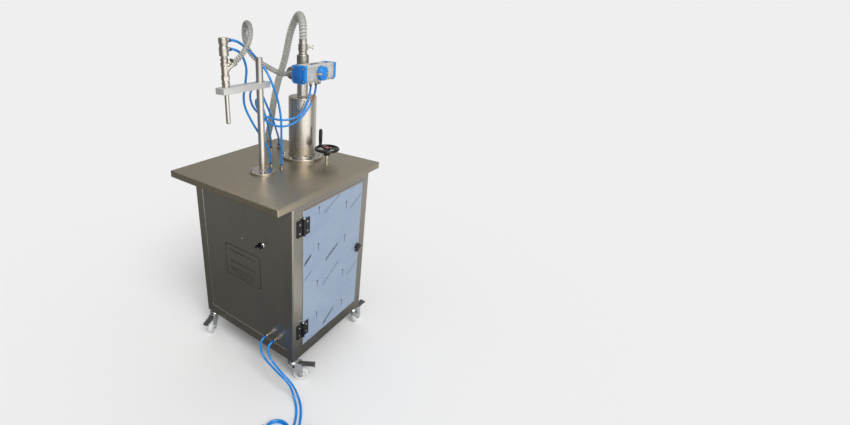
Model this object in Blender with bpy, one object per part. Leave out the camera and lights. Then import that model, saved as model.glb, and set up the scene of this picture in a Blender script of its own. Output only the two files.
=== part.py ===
"""Piston paste filling machine on a wheeled cabinet, as separate working pieces.

Metres, +Z up. The pieces are laid out round the middle of the table top, whose upper
face is at height zero, and the whole machine is then moved so that it stands on the
origin. The operator's side, with the selector and the two air inlets, faces -Y. The
door is on the +X side.
"""
import math

import bmesh
import bpy
from mathutils import Matrix, Vector
from mathutils.geometry import interpolate_bezier

# Clearances and cutting
GAP = 0.0003
OVERRUN = 0.003
BITE = 0.001
MERGE = 0.000002

# Table: a folded tray
TABLE_X = 0.550
TABLE_Y = 0.600
TABLE_LIP = 0.026
TABLE_HEM = 0.005
FILL_PLACE_BACK = -0.145
FILL_PLACE_DEPTH = 0.0003
SHEET = 0.002
FOLD_RADIUS = 0.003
TABLE_HEIGHT = 0.776

# Cabinet: a frame of square tube with inset panels
CABINET_X = 0.505
CABINET_Y = 0.460
CABINET_SHIFT_X = 0.0125
CABINET_SHIFT_Y = 0.011
CABINET_LIFT = 0.104
TUBE = 0.040
TUBE_RADIUS = 0.004
PANEL_RECESS = 0.002
FLOOR_DROP = 0.006
HINGE_STILE = 0.012
DOOR_SIDE_RELIEF = 0.002
DOOR_HEAD = 0.048
DOOR_SILL = 0.044

# Door: a folded pan, a little proud of the frame
DOOR_GAP = 0.0015
DOOR_DEPTH = 0.020
DOOR_PROUD = 0.001

# Hinges
HINGE_LEAF_WIDTH = 0.026
HINGE_LEAF_THICK = 0.004
HINGE_HEIGHT = 0.060
HINGE_PIN_RADIUS = 0.003
HINGE_KNUCKLE_RADIUS = 0.0055
HINGE_STAND = 0.006
HINGE_UPPER_Z = -0.112
HINGE_LOWER_LIFT = 0.127
HINGE_CAP = 0.004
HINGE_HOLE_RADIUS = 0.0024
HINGE_HOLE_STEP = 0.034

# Door latch: a wing knob, a spindle and a cam
LATCH_INSET = 0.022
LATCH_LIFT = 0.337
LATCH_SPINDLE_RADIUS = 0.0045
LATCH_BOSS_RADIUS = 0.013
LATCH_BOSS_HEIGHT = 0.006
LATCH_WING_LENGTH = 0.036
LATCH_WING_WIDTH = 0.010
LATCH_WING_HEIGHT = 0.012
LATCH_WING_ANGLE = 2.2
LATCH_CAM_LENGTH = 0.036
LATCH_CAM_WIDTH = 0.016
LATCH_CAM_THICK = 0.003

# Selector switch
SELECTOR_X = 0.116
SELECTOR_Z = -0.214
BEZEL_RADIUS = 0.015
BEZEL_HEIGHT = 0.005
SWITCH_HOLE_RADIUS = 0.0112
SWITCH_NUT_RADIUS = 0.014
SWITCH_NUT_HEIGHT = 0.006
SWITCH_BLOCK = 0.030
SWITCH_BLOCK_DEPTH = 0.042
KNOB_RADIUS = 0.0115
KNOB_SKIRT = 0.005
KNOB_WING_WIDTH = 0.008
KNOB_WING_DEPTH = 0.015
KNOB_SHAFT_RADIUS = 0.004
KNOB_SHAFT_LENGTH = 0.012

# Air inlets and the fittings that the tubes push into
INLET_X_1 = 0.146
INLET_X_2 = 0.186
INLET_LIFT = 0.076
FITTING_THREAD_RADIUS = 0.0048
FITTING_HEX_RADIUS = 0.0078
FITTING_HEX_HEIGHT = 0.006
FITTING_BODY_RADIUS = 0.0062
FITTING_HEIGHT = 0.017
FITTING_TAIL = 0.016
COLLET_RADIUS = 0.0052
COLLET_HEIGHT = 0.004
INLET_REACH = 0.028
AIR_TUBE = 0.008

# Places of the four table fittings, chosen from the photograph
TABLE_FITTINGS = {
    "rear_left": (-0.160, 0.131),
    "rear_right": (-0.160, 0.181),
    "front_left": (-0.012, -0.025),
    "front_right": (0.028, -0.009),
}

# Casters
CASTER_INSET_X = 0.020
CASTER_INSET_Y = 0.020
COLLAR_RADIUS = 0.0115
COLLAR_HEIGHT = 0.012
CASTER_HEAD_RADIUS = 0.021
CASTER_HEAD_HEIGHT = 0.008
RACE_RADIUS = 0.016
WHEEL_RADIUS = 0.030
WHEEL_WIDTH = 0.020
WHEEL_HUB_RADIUS = 0.010
WHEEL_HUB_PROUD = 0.001
WHEEL_WEB = 0.007
WHEEL_RIM = 0.008
CASTER_TRAIL = 0.033
FORK_PLATE = 0.0025
FORK_SIDE_GAP = 0.0012
AXLE_RADIUS = 0.004
AXLE_HEAD_RADIUS = 0.007
AXLE_HEAD = 0.003
PEDAL_PIVOT_X = 0.030
PEDAL_PIVOT_RADIUS = 0.0025
PEDAL_TIP = 0.088
PEDAL_THICK = 0.003
PEDAL_SKIRT = 0.010
PEDAL_RISE = 0.004
CASTER_HEADINGS = {"front": 0.56, "left": -1.17, "right": 1.57, "rear": 2.30}

# Post that carries the arm
POST_X = 0.000
POST_Y = -0.083
POST_RADIUS = 0.0125
POST_TOP = 0.406
POST_EDGE = 0.001
POST_FLANGE_RADIUS = 0.050
POST_FLANGE = 0.007
POST_WELD = 0.002
POST_BOLT_CIRCLE = 0.038
BOLT_HEAD_RADIUS = 0.0065
BOLT_HEAD = 0.005

# Arm bar
ARM_WIDTH = 0.040
ARM_THICK = 0.020
ARM_TOP = 0.326
ARM_END_PAST_POST = 0.032
ARM_END_PAST_NOZZLE = 0.028
ARM_EDGE = 0.001
ARM_SLIT = 0.002
ARM_SCREW_RADIUS = 0.003
ARM_SCREW_HEAD_RADIUS = 0.005
ARM_SCREW_HEAD = 0.005
ARM_SCREW_INSET = 0.011

# Nozzle assembly
NOZZLE_Y = -0.234
NOZZLE_TIP_Z = 0.208
NOZZLE_RADIUS = 0.0075
NOZZLE_BORE = 0.0045
NOZZLE_TIP_TAPER = 0.002
NOZZLE_NUT_RADIUS = 0.013
NOZZLE_NUT_TOP = 0.345
NOZZLE_HEX_TOP = 0.365
NOZZLE_WAIST_RADIUS = 0.0105
NOZZLE_BODY_RADIUS = 0.012
NOZZLE_BODY_TOP = 0.389
NOZZLE_UNION_RADIUS = 0.0135
NOZZLE_UNION_TOP = 0.4197
NOZZLE_CHAMFER = 0.0012
BRANCH_Z = 0.375
BRANCH_RADIUS = 0.008
BRANCH_BORE = 0.004
BRANCH_REACH = 0.046
BRANCH_SLOPE = 0.72
BRANCH_CLAMP_RADIUS = 0.0115
BRANCH_CLAMP_WIDTH = 0.009
BRANCH_CLAMP_BACK = 0.012
CLAMP_SCREW_RADIUS = 0.004
CLAMP_SCREW_LENGTH = 0.016
PORT_AZIMUTH = 0.705
AIR_CYLINDER_RADIUS = 0.015
AIR_CYLINDER_TOP = 0.4735
AIR_CYLINDER_WALL = 0.0045
AIR_CYLINDER_GROOVE_Z = 0.4515
AIR_CYLINDER_GROOVE = 0.003
AIR_PORT_UPPER_Z = 0.466
AIR_PORT_LOWER_Z = 0.440
AIR_PORT_REACH = 0.023
NEEDLE_RADIUS = 0.003
NEEDLE_TIP = 0.004
NEEDLE_PISTON_HEIGHT = 0.009
NEEDLE_STROKE = 0.015

# Product cylinder and its head
CYLINDER_X = -0.007
CYLINDER_Y = 0.157
CYLINDER_RADIUS = 0.055
CYLINDER_WALL = 0.005
CYLINDER_TOP = 0.236
CYLINDER_FLOOR = 0.012
CYLINDER_FLANGE_RADIUS = 0.086
CYLINDER_FLANGE = 0.010
CYLINDER_BOLT_CIRCLE = 0.075
CYLINDER_WELD = 0.004
HEAD_THICK = 0.010
NECK_RADIUS = 0.0215
NECK_BORE = 0.015
NECK_TOP = 0.3047
EDGE_BREAK = 0.001

# Three-way valve
VALVE_Z = 0.338
VALVE_BOTTOM = 0.305
VALVE_TOP = 0.3637
VALVE_RADIUS = 0.027
VALVE_CROSS_RADIUS = 0.023
VALVE_BACK_X = -0.045
VALVE_FRONT_X = 0.0197
VALVE_OUTLET_RADIUS = 0.018
VALVE_OUTLET_REACH = 0.046
VALVE_OUTLET_BORE = 0.008
PLUG_RADIUS = 0.017
PLUG_BACK_X = -0.032
PLUG_FRONT_X = 0.015
PLUG_PORT = 0.010
STEM_RADIUS = 0.006

# Couplings on the valve
UNION_RADIUS = 0.023
UNION_HEIGHT = 0.034
UNION_NOTCHES = 6
UNION_NOTCH = 0.004
UNION_NOTCH_DEPTH = 0.003
SUCTION_HOSE = 0.030
SUCTION_BORE = 0.0105
SUCTION_ROOT_SHARE = 0.90
INLET_NECK_RADIUS = 0.0165
INLET_BARB_TOP = 0.4527
INLET_CLAMP_RADIUS = 0.0185
INLET_CLAMP_LOW = 0.413
INLET_CLAMP_WIDTH = 0.022
WING_LENGTH = 0.016
WING_THICK = 0.004
WING_SCREW_LENGTH = 0.018
OUTLET_HOSE = 0.018
OUTLET_NECK_RADIUS = 0.0095
OUTLET_CLAMP_RADIUS = 0.0115
OUTLET_UNION_LENGTH = 0.024
OUTLET_LENGTH = 0.045
OUTLET_CLAMP_WIDTH = 0.009

# Valve actuator
ACTUATOR_BACK_X = 0.020
ACTUATOR_FRONT_X = 0.081
ACTUATOR_Y_0 = 0.076
ACTUATOR_Y_1 = 0.235
ACTUATOR_BOTTOM = 0.308
ACTUATOR_TOP = 0.370
ACTUATOR_CHAMFER = 0.009
ACTUATOR_RIB = 0.003
CAP_PLATE = 0.014
CAP_DOME = 0.010
CAP_MARGIN = 0.001
CAP_DOME_RADIUS = 0.026
CAP_BOLT_RADIUS = 0.004
CAP_BOLT_PROUD = 0.003
CAP_BOLT_INSET = 0.010
INDICATOR_RADIUS = 0.025
INDICATOR_HEIGHT = 0.016
INDICATOR_CENTRE_RADIUS = 0.013
INDICATOR_CENTRE = 0.003
ACTUATOR_FITTING_X = 0.050
ACTUATOR_FITTING_Y_1 = 0.135
ACTUATOR_FITTING_Y_2 = 0.167
ACTUATOR_SILENCER_Y = 0.187
ACTUATOR_FITTING_DROP = 0.0155

# Piston with its rod, and the air cylinder that drives it
PISTON_STROKE = 0.170
PISTON_HEIGHT = 0.032
PISTON_CROWN = 0.005
PISTON_SEAL_GROOVE = 0.002
PISTON_SEAL_WIDTH = 0.005
PISTON_REST_LIFT = 0.002
ROD_RADIUS = 0.010
DRIVE_HEAD = 0.024
DRIVE_SIDE = 0.080
DRIVE_BORE = 0.034
DRIVE_WALL = 0.003
DRIVE_PISTON = 0.020
DRIVE_MARGIN = 0.003
TIE_ROD_RADIUS = 0.004
TIE_ROD_INSET = 0.007
TIE_ROD_END = 0.006

# Handwheel that sets the stroke
WHEEL_X = 0.122
WHEEL_Y = 0.152
HANDWHEEL_RADIUS = 0.043
HANDWHEEL_RIM_RADIUS = 0.006
HANDWHEEL_Z = 0.058
HUB_RADIUS = 0.013
HUB_BOTTOM = 0.032
HUB_TOP = 0.064
SPOKE_WIDTH = 0.014
SPOKE_THICK = 0.007
CRANK_PIN_RADIUS = 0.003
CRANK_ANGLE = 2.86
CRANK_BASE = 0.067
CRANK_LENGTH = 0.060
CRANK_RADIUS = 0.0075
CRANK_WAIST_RADIUS = 0.006
SPINDLE_RADIUS = 0.006
SPINDLE_BOTTOM = -0.236
SPINDLE_SOCKET = 0.014
STOP_NUT_RADIUS = 0.015
STOP_NUT_HEIGHT = 0.018
STOP_NUT_TOP = -0.060
STOP_ARM_WIDTH = 0.030
STOP_ARM_THICK = 0.008

# Air valve behind the inlets
AIR_VALVE_RISE = 0.096
AIR_VALVE_LENGTH = 0.110
AIR_VALVE_HEIGHT = 0.040
AIR_VALVE_DEPTH = 0.030
AIR_VALVE_X = 0.166
COIL_BLOCK_LENGTH = 0.028
COIL_BLOCK_HEIGHT = 0.034

# Loose tubes: spacing of the points along them, and the coils
ROUTE_STEP_SHARE = 3
HOSE_RIBS = 80
BORE_STEP = 0.032
COIL_RADIUS = 0.050
COIL_PITCH = 0.0096
COIL_TURNS = 1.0
COIL_LAYER = 0.0096
LOOP_POINTS = 24

# Parts of a whole turn, and how finely round things are divided
FINE_STEPS = 18
WHEEL_STEPS = 16
ROUND_STEPS = 12
SMALL_STEPS = 8
TINY_STEPS = 6
SMOOTH_ANGLE = 0.7

# Sizes that follow from the ones above
CAB_X0 = CABINET_SHIFT_X - CABINET_X / 2
CAB_X1 = CABINET_SHIFT_X + CABINET_X / 2
CAB_Y0 = CABINET_SHIFT_Y - CABINET_Y / 2
CAB_Y1 = CABINET_SHIFT_Y + CABINET_Y / 2
CAB_Z1 = -SHEET - GAP
FLOOR_Z = -TABLE_HEIGHT
CABINET_BOTTOM = FLOOR_Z + CABINET_LIFT
OPEN_Y0 = CAB_Y0 + TUBE + HINGE_STILE
OPEN_Y1 = CAB_Y1 - TUBE + DOOR_SIDE_RELIEF
OPEN_Z0 = CABINET_BOTTOM + DOOR_SILL
OPEN_Z1 = CAB_Z1 - DOOR_HEAD
DOOR_FACE = CAB_X1 + DOOR_PROUD
PANEL_FACE = CAB_Y0 + PANEL_RECESS
HINGE_X = CAB_X1 + HINGE_STAND
HINGE_Y = OPEN_Y0
HINGE_LOWER_Z = CABINET_BOTTOM + HINGE_LOWER_LIFT
LATCH_Y = OPEN_Y1 - LATCH_INSET
LATCH_Z = CABINET_BOTTOM + LATCH_LIFT
INLET_Z = CABINET_BOTTOM + INLET_LIFT
AIR_VALVE_Z = INLET_Z + AIR_VALVE_RISE
AXLE_Z = FLOOR_Z + WHEEL_RADIUS
ARM_BOTTOM = ARM_TOP - ARM_THICK
CYLINDER_BORE = CYLINDER_RADIUS - CYLINDER_WALL
DRIVE_TOP = CAB_Z1
DRIVE_INNER = PISTON_STROKE + DRIVE_PISTON + 2 * DRIVE_MARGIN
DRIVE_CEILING = DRIVE_TOP - DRIVE_HEAD
DRIVE_BASE = DRIVE_CEILING - DRIVE_INNER
DRIVE_BOTTOM = DRIVE_BASE - DRIVE_HEAD
TIE_OFFSET = DRIVE_SIDE / 2 - TIE_ROD_INSET


def material(name, colour, roughness, metallic):
    """A plain shader in the colour of the piece."""
    made = bpy.data.materials.new(name)
    made.use_nodes = True
    shader = made.node_tree.nodes["Principled BSDF"]
    shader.inputs["Base Color"].default_value = (*colour, 1)
    shader.inputs["Roughness"].default_value = roughness
    shader.inputs["Metallic"].default_value = metallic
    made.diffuse_color = (*colour, 1)
    return made


def spare_object(bm):
    """A throw-away object that holds a shape while it is cut or joined."""
    mesh = bpy.data.meshes.new("spare")
    bm.to_mesh(mesh)
    bm.free()
    made = bpy.data.objects.new("spare", mesh)
    bpy.context.scene.collection.objects.link(made)
    return made


def combine(base_shape, tools, operation):
    """Joins the tools to the base shape, or cuts them out of it."""
    base = spare_object(base_shape)
    others = [spare_object(tool) for tool in tools]
    for other in others:
        step = base.modifiers.new("step", "BOOLEAN")
        step.operation = operation
        step.object = other
    view = bpy.context.evaluated_depsgraph_get()
    result = bmesh.new()
    shaped = base.evaluated_get(view)
    result.from_mesh(shaped.to_mesh())
    shaped.to_mesh_clear()
    for used in [base] + others:
        mesh = used.data
        bpy.data.objects.remove(used)
        bpy.data.meshes.remove(mesh)
    bmesh.ops.remove_doubles(result, verts=result.verts, dist=MERGE)
    return result


def join(base_shape, *tools):
    return combine(base_shape, tools, "UNION")


def cut(base_shape, *tools):
    return combine(base_shape, tools, "DIFFERENCE")


def box(x0, x1, y0, y1, z0, z1):
    """A block between two corners."""
    bm = bmesh.new()
    size = Matrix.Diagonal((x1 - x0, y1 - y0, z1 - z0, 1))
    middle = Matrix.Translation(((x0 + x1) / 2, (y0 + y1) / 2, (z0 + z1) / 2))
    bmesh.ops.create_cube(bm, size=1, matrix=middle @ size)
    return bm


def rounded(bm, width, segments=1, upright_only=False):
    """Rounds the sharp edges of a shape."""
    edges = [e for e in bm.edges if len(e.link_faces) == 2 and e.calc_face_angle() > SMOOTH_ANGLE]
    if upright_only:
        edges = [e for e in edges if abs(e.verts[0].co.z - e.verts[1].co.z) > e.calc_length() / 2]
    bmesh.ops.bevel(bm, geom=edges, offset=width, segments=segments, affect="EDGES", profile=0.5)
    return bm


def lathe(profile, steps=ROUND_STEPS, ring=False):
    """Turns a profile of (radius, height) points round the Z axis.

    A ring's profile closes on itself; any other starts and ends on the axis. The flats
    of the turned shape face along X and Y.
    """
    bm = bmesh.new()
    rows = []
    for radius, height in profile:
        if radius == 0:
            rows.append([bm.verts.new((0, 0, height))])
            continue
        angles = [2 * math.pi * (i + 0.5) / steps for i in range(steps)]
        rows.append([bm.verts.new((radius * math.cos(a), radius * math.sin(a), height)) for a in angles])
    pairs = list(zip(rows, rows[1:]))
    if ring:
        pairs.append((rows[-1], rows[0]))
    for low, high in pairs:
        for i in range(steps):
            j = (i + 1) % steps
            if len(low) == 1:
                bm.faces.new((low[0], high[j], high[i]))
            elif len(high) == 1:
                bm.faces.new((low[i], low[j], high[0]))
            else:
                bm.faces.new((low[i], low[j], high[j], high[i]))
    bmesh.ops.recalc_face_normals(bm, faces=bm.faces)
    return bm


def rod(radius, start, end, steps=SMALL_STEPS):
    """A plain cylinder between two points."""
    start = Vector(start)
    along = Vector(end) - start
    bm = lathe([(0, 0), (radius, 0), (radius, along.length), (0, along.length)], steps)
    return aimed(bm, along, start)


def running(radius, steps):
    """Radius of a faceted hole whose flats clear a shaft of the given radius that turns in it."""
    return (radius + GAP) / math.cos(math.pi / steps)


def aimed(bm, direction, at):
    """Turns a shape made along +Z so that it points in a direction, and moves it."""
    direction = Vector(direction).normalized()
    if abs(direction.z) > 1 - MERGE:
        turn = Matrix.Rotation(0 if direction.z > 0 else math.pi, 4, "X")
    else:
        side = Vector((0, 0, 1)).cross(direction).normalized()
        other = direction.cross(side)
        turn = Matrix((side, other, direction)).transposed().to_4x4()
    bmesh.ops.transform(bm, matrix=Matrix.Translation(at) @ turn, verts=bm.verts)
    return bm


def slab(outline, low, high):
    """A flat outline of (x, y) points with a thickness from low to high."""
    bm = bmesh.new()
    face = bm.faces.new([bm.verts.new((x, y, low)) for x, y in outline])
    made = bmesh.ops.extrude_face_region(bm, geom=[face])
    top = [v for v in made["geom"] if isinstance(v, bmesh.types.BMVert)]
    bmesh.ops.translate(bm, vec=(0, 0, high - low), verts=top)
    bmesh.ops.recalc_face_normals(bm, faces=bm.faces)
    return bm


def moved(bm, x=0, y=0, z=0):
    bmesh.ops.translate(bm, vec=(x, y, z), verts=bm.verts)
    return bm


def turned(bm, angle, axis="Z"):
    bmesh.ops.transform(bm, matrix=Matrix.Rotation(angle, 4, axis), verts=bm.verts)
    return bm


def hexagon(radius, low, high):
    """A six-sided nut or head; radius is to its flats."""
    return lathe([(0, low), (radius / math.cos(math.pi / 6), low),
                  (radius / math.cos(math.pi / 6), high), (0, high)], 6)


def piece(name, bm, look, parent, origin=(0, 0, 0)):
    """A named part of the machine, with its own origin."""
    mesh = bpy.data.meshes.new(name)
    moved(bm, -origin[0], -origin[1], -origin[2])
    bm.to_mesh(mesh)
    bm.free()
    mesh.shade_smooth()
    mesh.set_sharp_from_angle(angle=SMOOTH_ANGLE)
    mesh.materials.append(look)
    made = bpy.data.objects.new(name, mesh)
    made.location = origin
    made.parent = parent
    bpy.context.scene.collection.objects.link(made)
    return made


def empty(name, parent, location=(0, 0, 0), heading=0):
    made = bpy.data.objects.new(name, None)
    made.parent = parent
    made.location = location
    made.rotation_euler = (0, 0, heading)
    bpy.context.scene.collection.objects.link(made)
    return made


def fitting(tail, height):
    """A push-in tube fitting along +Z from its seat: thread, hexagon, body and collet."""
    body_top = height - COLLET_HEIGHT
    turned_part = lathe([(0, -tail), (FITTING_THREAD_RADIUS, -tail), (FITTING_THREAD_RADIUS, BITE),
                         (FITTING_BODY_RADIUS, BITE), (FITTING_BODY_RADIUS, body_top),
                         (COLLET_RADIUS, body_top), (COLLET_RADIUS, height), (0, height)], TINY_STEPS)
    return join(hexagon(FITTING_HEX_RADIUS, 0, FITTING_HEX_HEIGHT), turned_part)


def table_top(machine, looks):
    """The folded tray with its holes and the four bulkhead fittings."""
    x, y = TABLE_X / 2, TABLE_Y / 2
    tray = rounded(box(-x, x, -y, y, -TABLE_LIP, 0), FOLD_RADIUS / 2)
    inner_x, inner_y = x - SHEET, y - SHEET
    hem_x, hem_y = inner_x - TABLE_HEM, inner_y - TABLE_HEM
    hollow = box(-inner_x, inner_x, -inner_y, inner_y, -TABLE_LIP + SHEET, -SHEET)
    mouth = box(-hem_x, hem_x, -hem_y, hem_y, -TABLE_LIP - OVERRUN, -SHEET - BITE)
    rod_hole = rod(ROD_RADIUS + GAP, (CYLINDER_X, CYLINDER_Y, -TABLE_LIP),
                   (CYLINDER_X, CYLINDER_Y, OVERRUN), FINE_STEPS)
    spindle_hole = rod(running(SPINDLE_RADIUS, SMALL_STEPS), (WHEEL_X, WHEEL_Y, -TABLE_LIP),
                       (WHEEL_X, WHEEL_Y, OVERRUN))
    # The free front of the table, where jars stand, lies a hair lower
    fill_place = box(-TABLE_X, TABLE_X, -TABLE_Y, FILL_PLACE_BACK, -FILL_PLACE_DEPTH, OVERRUN)
    tray = cut(tray, hollow, mouth, rod_hole, spindle_hole, fill_place)
    fittings = []
    for place in TABLE_FITTINGS.values():
        fittings.append(moved(fitting(FITTING_TAIL, FITTING_HEIGHT), place[0], place[1]))
    piece("table_top", join(tray, *fittings), looks["steel"], machine)


def cabinet_frame(machine, looks):
    """Posts and rails of square tube, cut from one block, with the caster collars."""
    x0, x1, y0, y1 = CAB_X0 + TUBE, CAB_X1 - TUBE, CAB_Y0 + TUBE, CAB_Y1 - TUBE
    z0, z1 = CABINET_BOTTOM + TUBE, CAB_Z1 - TUBE
    block = rounded(box(CAB_X0, CAB_X1, CAB_Y0, CAB_Y1, CABINET_BOTTOM, CAB_Z1), TUBE_RADIUS, 1, True)
    through_y = box(x0, x1, CAB_Y0 - OVERRUN, CAB_Y1 + OVERRUN, z0, z1)
    through_side = box(CAB_X0 - OVERRUN, x1, y0, y1, z0, z1)
    through_top = box(x0, x1, y0, y1, CABINET_BOTTOM - OVERRUN, CAB_Z1 + OVERRUN)
    door_opening = box(x1 - OVERRUN, CAB_X1 + OVERRUN, OPEN_Y0, OPEN_Y1, OPEN_Z0, OPEN_Z1)
    frame = cut(block, through_y, through_side, through_top, door_opening)
    collars = []
    for stem_x, stem_y in caster_places().values():
        bottom = CABINET_BOTTOM - COLLAR_HEIGHT
        top = CABINET_BOTTOM + BITE
        collars.append(rod(COLLAR_RADIUS, (stem_x, stem_y, bottom), (stem_x, stem_y, top)))
    piece("cabinet_frame", join(frame, *collars), looks["frame"], machine)


def cabinet_panels(machine, looks):
    """The inset sheets of the front, left, rear and floor."""
    x0, x1 = CAB_X0 + TUBE + GAP, CAB_X1 - TUBE - GAP
    y0, y1 = CAB_Y0 + TUBE + GAP, CAB_Y1 - TUBE - GAP
    z0, z1 = CABINET_BOTTOM + TUBE + GAP, CAB_Z1 - TUBE - GAP
    front = box(x0, x1, PANEL_FACE, PANEL_FACE + SHEET, z0, z1)
    holes = [rod(SWITCH_HOLE_RADIUS, (SELECTOR_X, PANEL_FACE - OVERRUN, SELECTOR_Z),
                 (SELECTOR_X, PANEL_FACE + SHEET + OVERRUN, SELECTOR_Z), ROUND_STEPS)]
    for inlet_x in (INLET_X_1, INLET_X_2):
        start = (inlet_x, PANEL_FACE - OVERRUN, INLET_Z)
        end = (inlet_x, PANEL_FACE + SHEET + OVERRUN, INLET_Z)
        holes.append(rod(running(FITTING_THREAD_RADIUS, SMALL_STEPS), start, end))
    piece("front_panel", cut(front, *holes), looks["panel"], machine)
    rear_face = CAB_Y1 - PANEL_RECESS
    piece("rear_panel", box(x0, x1, rear_face - SHEET, rear_face, z0, z1), looks["panel"], machine)
    left_face = CAB_X0 + PANEL_RECESS
    piece("left_panel", box(left_face, left_face + SHEET, y0, y1, z0, z1), looks["panel"], machine)
    floor_top = CABINET_BOTTOM + TUBE - FLOOR_DROP
    piece("floor_panel", box(x0, x1, y0, y1, floor_top - SHEET, floor_top), looks["panel"], machine)


def door(machine, looks):
    """The door pan, with the hole for the latch spindle."""
    y0, y1, z0, z1 = OPEN_Y0 + DOOR_GAP, OPEN_Y1 - DOOR_GAP, OPEN_Z0 + DOOR_GAP, OPEN_Z1 - DOOR_GAP
    back = DOOR_FACE - DOOR_DEPTH
    pan = rounded(box(back, DOOR_FACE, y0, y1, z0, z1), EDGE_BREAK)
    hollow = box(back - OVERRUN, DOOR_FACE - SHEET, y0 + SHEET, y1 - SHEET, z0 + SHEET, z1 - SHEET)
    hole = rod(running(LATCH_SPINDLE_RADIUS, SMALL_STEPS), (back, LATCH_Y, LATCH_Z),
               (DOOR_FACE + OVERRUN, LATCH_Y, LATCH_Z))
    piece("door", cut(pan, hollow, hole), looks["film"], machine, (HINGE_X, HINGE_Y, 0))


def hinge_knuckle(low, high, radius=HINGE_KNUCKLE_RADIUS):
    return rod(radius, (HINGE_X, HINGE_Y, low), (HINGE_X, HINGE_Y, high))


def hinge_leaf(side, seat, middle_z):
    """One leaf plate with its screw holes, to the given side of the pin."""
    near = HINGE_Y + side * (HINGE_KNUCKLE_RADIUS - BITE)
    far = HINGE_Y + side * (HINGE_KNUCKLE_RADIUS + HINGE_LEAF_WIDTH)
    low, high = middle_z - HINGE_HEIGHT / 2, middle_z + HINGE_HEIGHT / 2
    front = seat + HINGE_LEAF_THICK
    plate = box(seat, front, min(near, far), max(near, far), low, high)
    holes = []
    hole_y = (near + far) / 2 + side * BITE
    for step in (-1, 1):
        hole_z = middle_z + step * HINGE_HOLE_STEP / 2
        start, end = (seat - OVERRUN, hole_y, hole_z), (front + OVERRUN, hole_y, hole_z)
        holes.append(rod(HINGE_HOLE_RADIUS, start, end, TINY_STEPS))
    return cut(plate, *holes)


def hinge(name, middle_z, machine, looks):
    """A surface hinge: the frame leaf holds the pin, the door leaf turns on it."""
    low, high = middle_z - HINGE_HEIGHT / 2, middle_z + HINGE_HEIGHT / 2
    third = HINGE_HEIGHT / 3
    clear = running(HINGE_KNUCKLE_RADIUS, SMALL_STEPS)
    frame_leaf = hinge_leaf(-1, CAB_X1 + GAP, middle_z)
    frame_leaf = cut(frame_leaf, hinge_knuckle(low + third, high - third, clear))
    frame_leaf = join(frame_leaf, hinge_knuckle(low, low + third), hinge_knuckle(high - third, high + HINGE_CAP),
                      hinge_knuckle(low + BITE, high - BITE, HINGE_PIN_RADIUS))
    piece(name + "_frame_leaf", frame_leaf, looks["black"], machine)
    door_leaf = hinge_leaf(1, DOOR_FACE + GAP, middle_z)
    door_leaf = cut(door_leaf, hinge_knuckle(low - OVERRUN, low + third + GAP, clear),
                    hinge_knuckle(high - third - GAP, high + OVERRUN, clear))
    door_leaf = join(door_leaf, hinge_knuckle(low + third + GAP, high - third - GAP))
    door_leaf = cut(door_leaf, hinge_knuckle(low, high, running(HINGE_PIN_RADIUS, SMALL_STEPS)))
    piece(name + "_door_leaf", door_leaf, looks["black"], machine, (HINGE_X, HINGE_Y, 0))


def door_latch(machine, looks):
    """Wing knob, spindle and cam; at rest the cam points down, clear of the post."""
    at_y, at_z = LATCH_Y, LATCH_Z
    seat = DOOR_FACE + GAP
    cam_front = CAB_X1 - TUBE - GAP
    boss = lathe([(0, 0), (LATCH_BOSS_RADIUS, 0), (LATCH_BOSS_RADIUS, LATCH_BOSS_HEIGHT - EDGE_BREAK),
                  (LATCH_BOSS_RADIUS - EDGE_BREAK, LATCH_BOSS_HEIGHT), (0, LATCH_BOSS_HEIGHT)], ROUND_STEPS)
    boss = aimed(boss, (1, 0, 0), (seat, at_y, at_z))
    wing_base = LATCH_BOSS_HEIGHT - BITE
    wing = box(wing_base, wing_base + LATCH_WING_HEIGHT, -LATCH_WING_WIDTH / 2, LATCH_WING_WIDTH / 2,
               -LATCH_BOSS_RADIUS, LATCH_WING_LENGTH - LATCH_BOSS_RADIUS)
    wing = moved(turned(rounded(wing, LATCH_WING_WIDTH / 4), LATCH_WING_ANGLE, "X"), seat, at_y, at_z)
    spindle = rod(LATCH_SPINDLE_RADIUS, (cam_front - LATCH_CAM_THICK, at_y, at_z), (seat + BITE, at_y, at_z))
    cam = box(cam_front - LATCH_CAM_THICK, cam_front, at_y - LATCH_CAM_WIDTH / 2, at_y + LATCH_CAM_WIDTH / 2,
              at_z - LATCH_CAM_LENGTH, at_z + LATCH_CAM_WIDTH / 2)
    piece("door_latch", join(boss, wing, spindle, cam), looks["black"], machine, (seat, at_y, at_z))


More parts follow.
